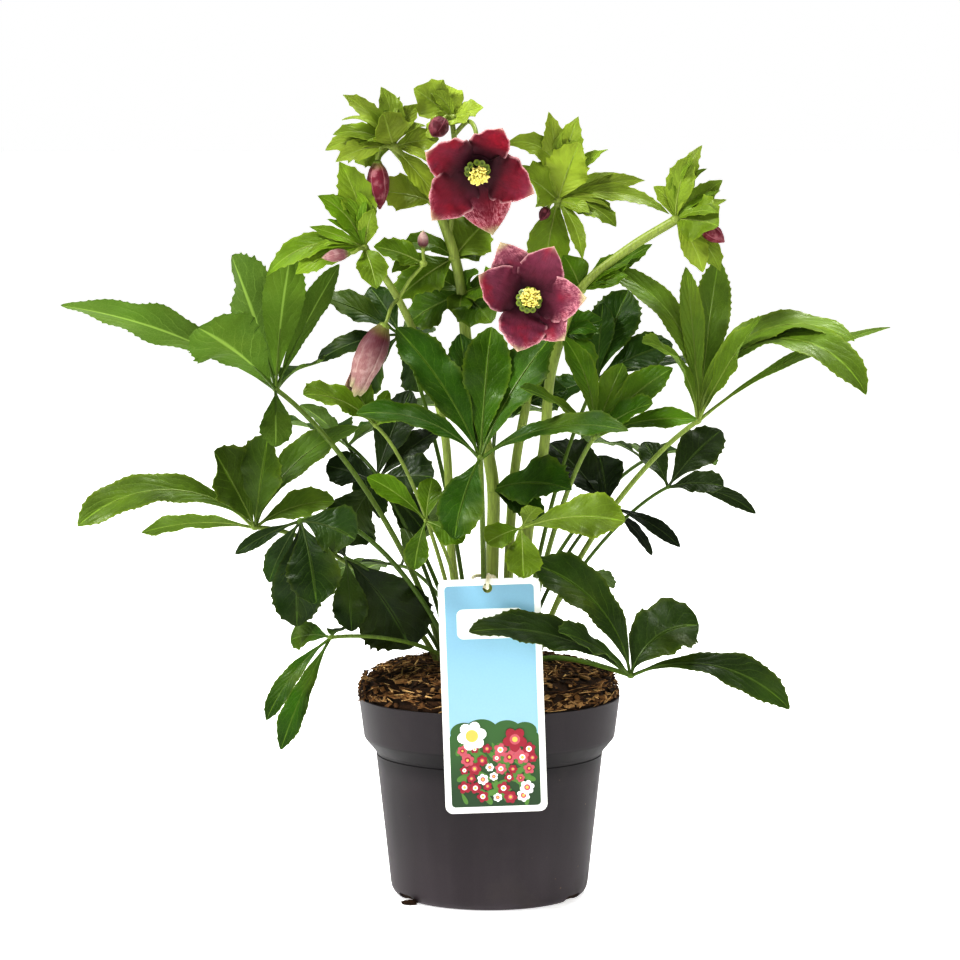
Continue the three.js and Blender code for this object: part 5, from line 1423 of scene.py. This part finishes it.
def make_label_print():
    """The card's printed picture: a plain panel, and a meadow of simple round flowers and leaves."""
    piece = Piece("label_print", *INKS)
    bm = piece.bm
    level = LABEL_THICKNESS + 0.04
    rounded_sheet(bm, PANEL_SIZE, PANEL_CORNER, PRINT_THICKNESS, (0, PANEL_HEIGHT, level), WHITE)
    for x, size in HILLS:
        hill = Matrix.Diagonal((size / 2 * MM, size / 2.6 * MM, 1, 1))
        print_oval(bm, hill, 28, (x, HILL_HEIGHT, level), MEADOW)
        level += PRINT_STEP
    rounded_sheet(bm, MEADOW_SIZE, FIELD_CORNER, PRINT_THICKNESS, (0, MEADOW_HEIGHT, level), MEADOW)
    luck = random.Random(3)
    for leaf in range(PRINTED_LEAVES):
        level += PRINT_STEP
        x, y = luck.uniform(-21, 21), -30 - 36 * (leaf + 0.5) / PRINTED_LEAVES
        print_leaf(bm, x, y, luck.uniform(8, 14), luck.uniform(20, 160), level)
    level += PRINT_STEP
    for row in range(FLOWER_ROWS):
        for place in range(6 + row % 2):
            x = (place - 2.5 - 0.5 * (row % 2)) * FLOWER_SPACING + luck.uniform(-1.2, 1.2)
            y = -34 - 6 * row + luck.uniform(-1, 1)
            size = luck.uniform(5.5, 9.5)
            petal_ink, flush = luck.choice(FLOWER_INKS)
            layer = (2 * row + place) % 5
            if abs(x) + size / 2 < FIELD_SIZE[0] / 2 - 0.6 and luck.random() < 0.84:
                petals, turn = luck.choice((5, 6)), luck.uniform(0, 1)
                stand = level + LAYERS * layer * PRINT_STEP
                print_flower(bm, x, y, size, petals, stand, petal_ink, flush, turn)
    level += 5 * LAYERS * PRINT_STEP
    for x, y, size, petals, petal_ink, flush, turn in BIG_FLOWERS:
        print_flower(bm, x, y, size, petals, level, petal_ink, flush, turn)
        level += LAYERS * PRINT_STEP
    piece.make(slot="label_card", sharp=30)


def make_strap():
    piece = Piece("strap_loop", STRAP_PLASTIC)
    path = round_path([mm(point) for point in STRAP_ROUTE], 110, closed=True)
    piece.tube(path, lambda s: STRAP_RADIUS * MM, 12, 0.5, closed=True)
    piece.make("label_strap", slot="strap_plastic")


# ---------------------------------------------------------------------------------------------
# Studio
# ---------------------------------------------------------------------------------------------


# In metres: each lamp's place, the height that it shines at, how wide it is, and its power in watts.
LAMPS = {
    "key": ((-1.7, -0.9, 2.4), 0.3, 0.7, 86),
    "fill": ((1.3, -2.4, 1.1), 0.28, 1.2, 13),
    "top": ((0.5, 0.7, 2.4), 0.3, 0.8, 44),
}
FLOOR_RADIUS = 26
CAMERA_PLACE = (-0.0061, -2.5, 0.531)
CAMERA_LENS = 145.4
CAMERA_DOWN = 5.93  # degrees
# The wall round the studio is bright up to the first height and dimmer from the second, as a ceiling.
WALL = {"From Min": 0.16, "From Max": 0.26, "To Min": 1.0, "To Max": 0.25}


def make_floor():
    bm = bmesh.new()
    bmesh.ops.create_circle(bm, cap_ends=True, segments=128, radius=FLOOR_RADIUS)
    floor = as_object("studio_floor", bm)
    f = Finish("studio_floor", Specular_IOR_Level=0.1, Emission_Color=(1, 1, 1, 1), Emission_Strength=0.72)
    floor.data.materials.append(f.wear(f.mix(f.clouds(f.place(), 6), (251, 251, 251), (254, 254, 254)), 0.9))


def soft_lamp(name, place, height, size, power):
    lamp = bpy.data.lights.new(name, "AREA")
    lamp.shape = "DISK"
    lamp.size = size
    lamp.energy = power
    stand = bpy.data.objects.new(name, lamp)
    stand.location = place
    stand.rotation_euler = (UP * height - Vector(place)).to_track_quat("-Z", "Y").to_euler()
    bpy.context.scene.collection.objects.link(stand)


def make_studio():
    """A bright wall all round, a dimmer ceiling, a pale floor and three soft lamps."""
    make_floor()
    for name, lamp in LAMPS.items():
        soft_lamp(name, *lamp)
    world = bpy.data.worlds.new("studio")
    world.use_nodes = True
    nodes, links = world.node_tree.nodes, world.node_tree.links
    height = nodes.new("ShaderNodeSeparateXYZ")
    links.new(nodes.new("ShaderNodeTexCoord").outputs["Generated"], height.inputs[0])
    dimming = nodes.new("ShaderNodeMapRange")
    for socket, value in WALL.items():
        dimming.inputs[socket].default_value = value
    links.new(height.outputs["Z"], dimming.inputs["Value"])
    links.new(dimming.outputs[0], nodes["Background"].inputs["Strength"])
    nodes["Background"].inputs["Color"].default_value = (1, 1, 1, 1)
    bpy.context.scene.world = world
    view = bpy.context.scene.view_settings
    view.view_transform = "Standard"
    view.gamma = 0.72


def make_camera():
    camera = bpy.data.cameras.new("camera")
    camera.sensor_width = 36
    camera.lens = CAMERA_LENS
    camera.clip_end = 60
    view = bpy.data.objects.new("camera", camera)
    view.location = CAMERA_PLACE
    view.rotation_euler = (math.radians(90 - CAMERA_DOWN), 0, 0)
    bpy.context.scene.collection.objects.link(view)
    bpy.context.scene.camera = view


for leaf_name, one_leaf in LEAVES.items():
    make_leaf(leaf_name, one_leaf)
for stem_name, one_stem in STEMS.items():
    make_stem(stem_name, one_stem)
for bud_name, one_bud in BUDS.items():
    make_bud(bud_name, one_bud)
for flower_name, one_flower in FLOWERS.items():
    make_sepals(flower_name, one_flower)
    make_nectaries(flower_name, one_flower)
    make_stamens(flower_name, one_flower)
make_pot()
make_soil()
make_crumb()
make_label()
make_label_print()
make_strap()
make_studio()
make_camera()
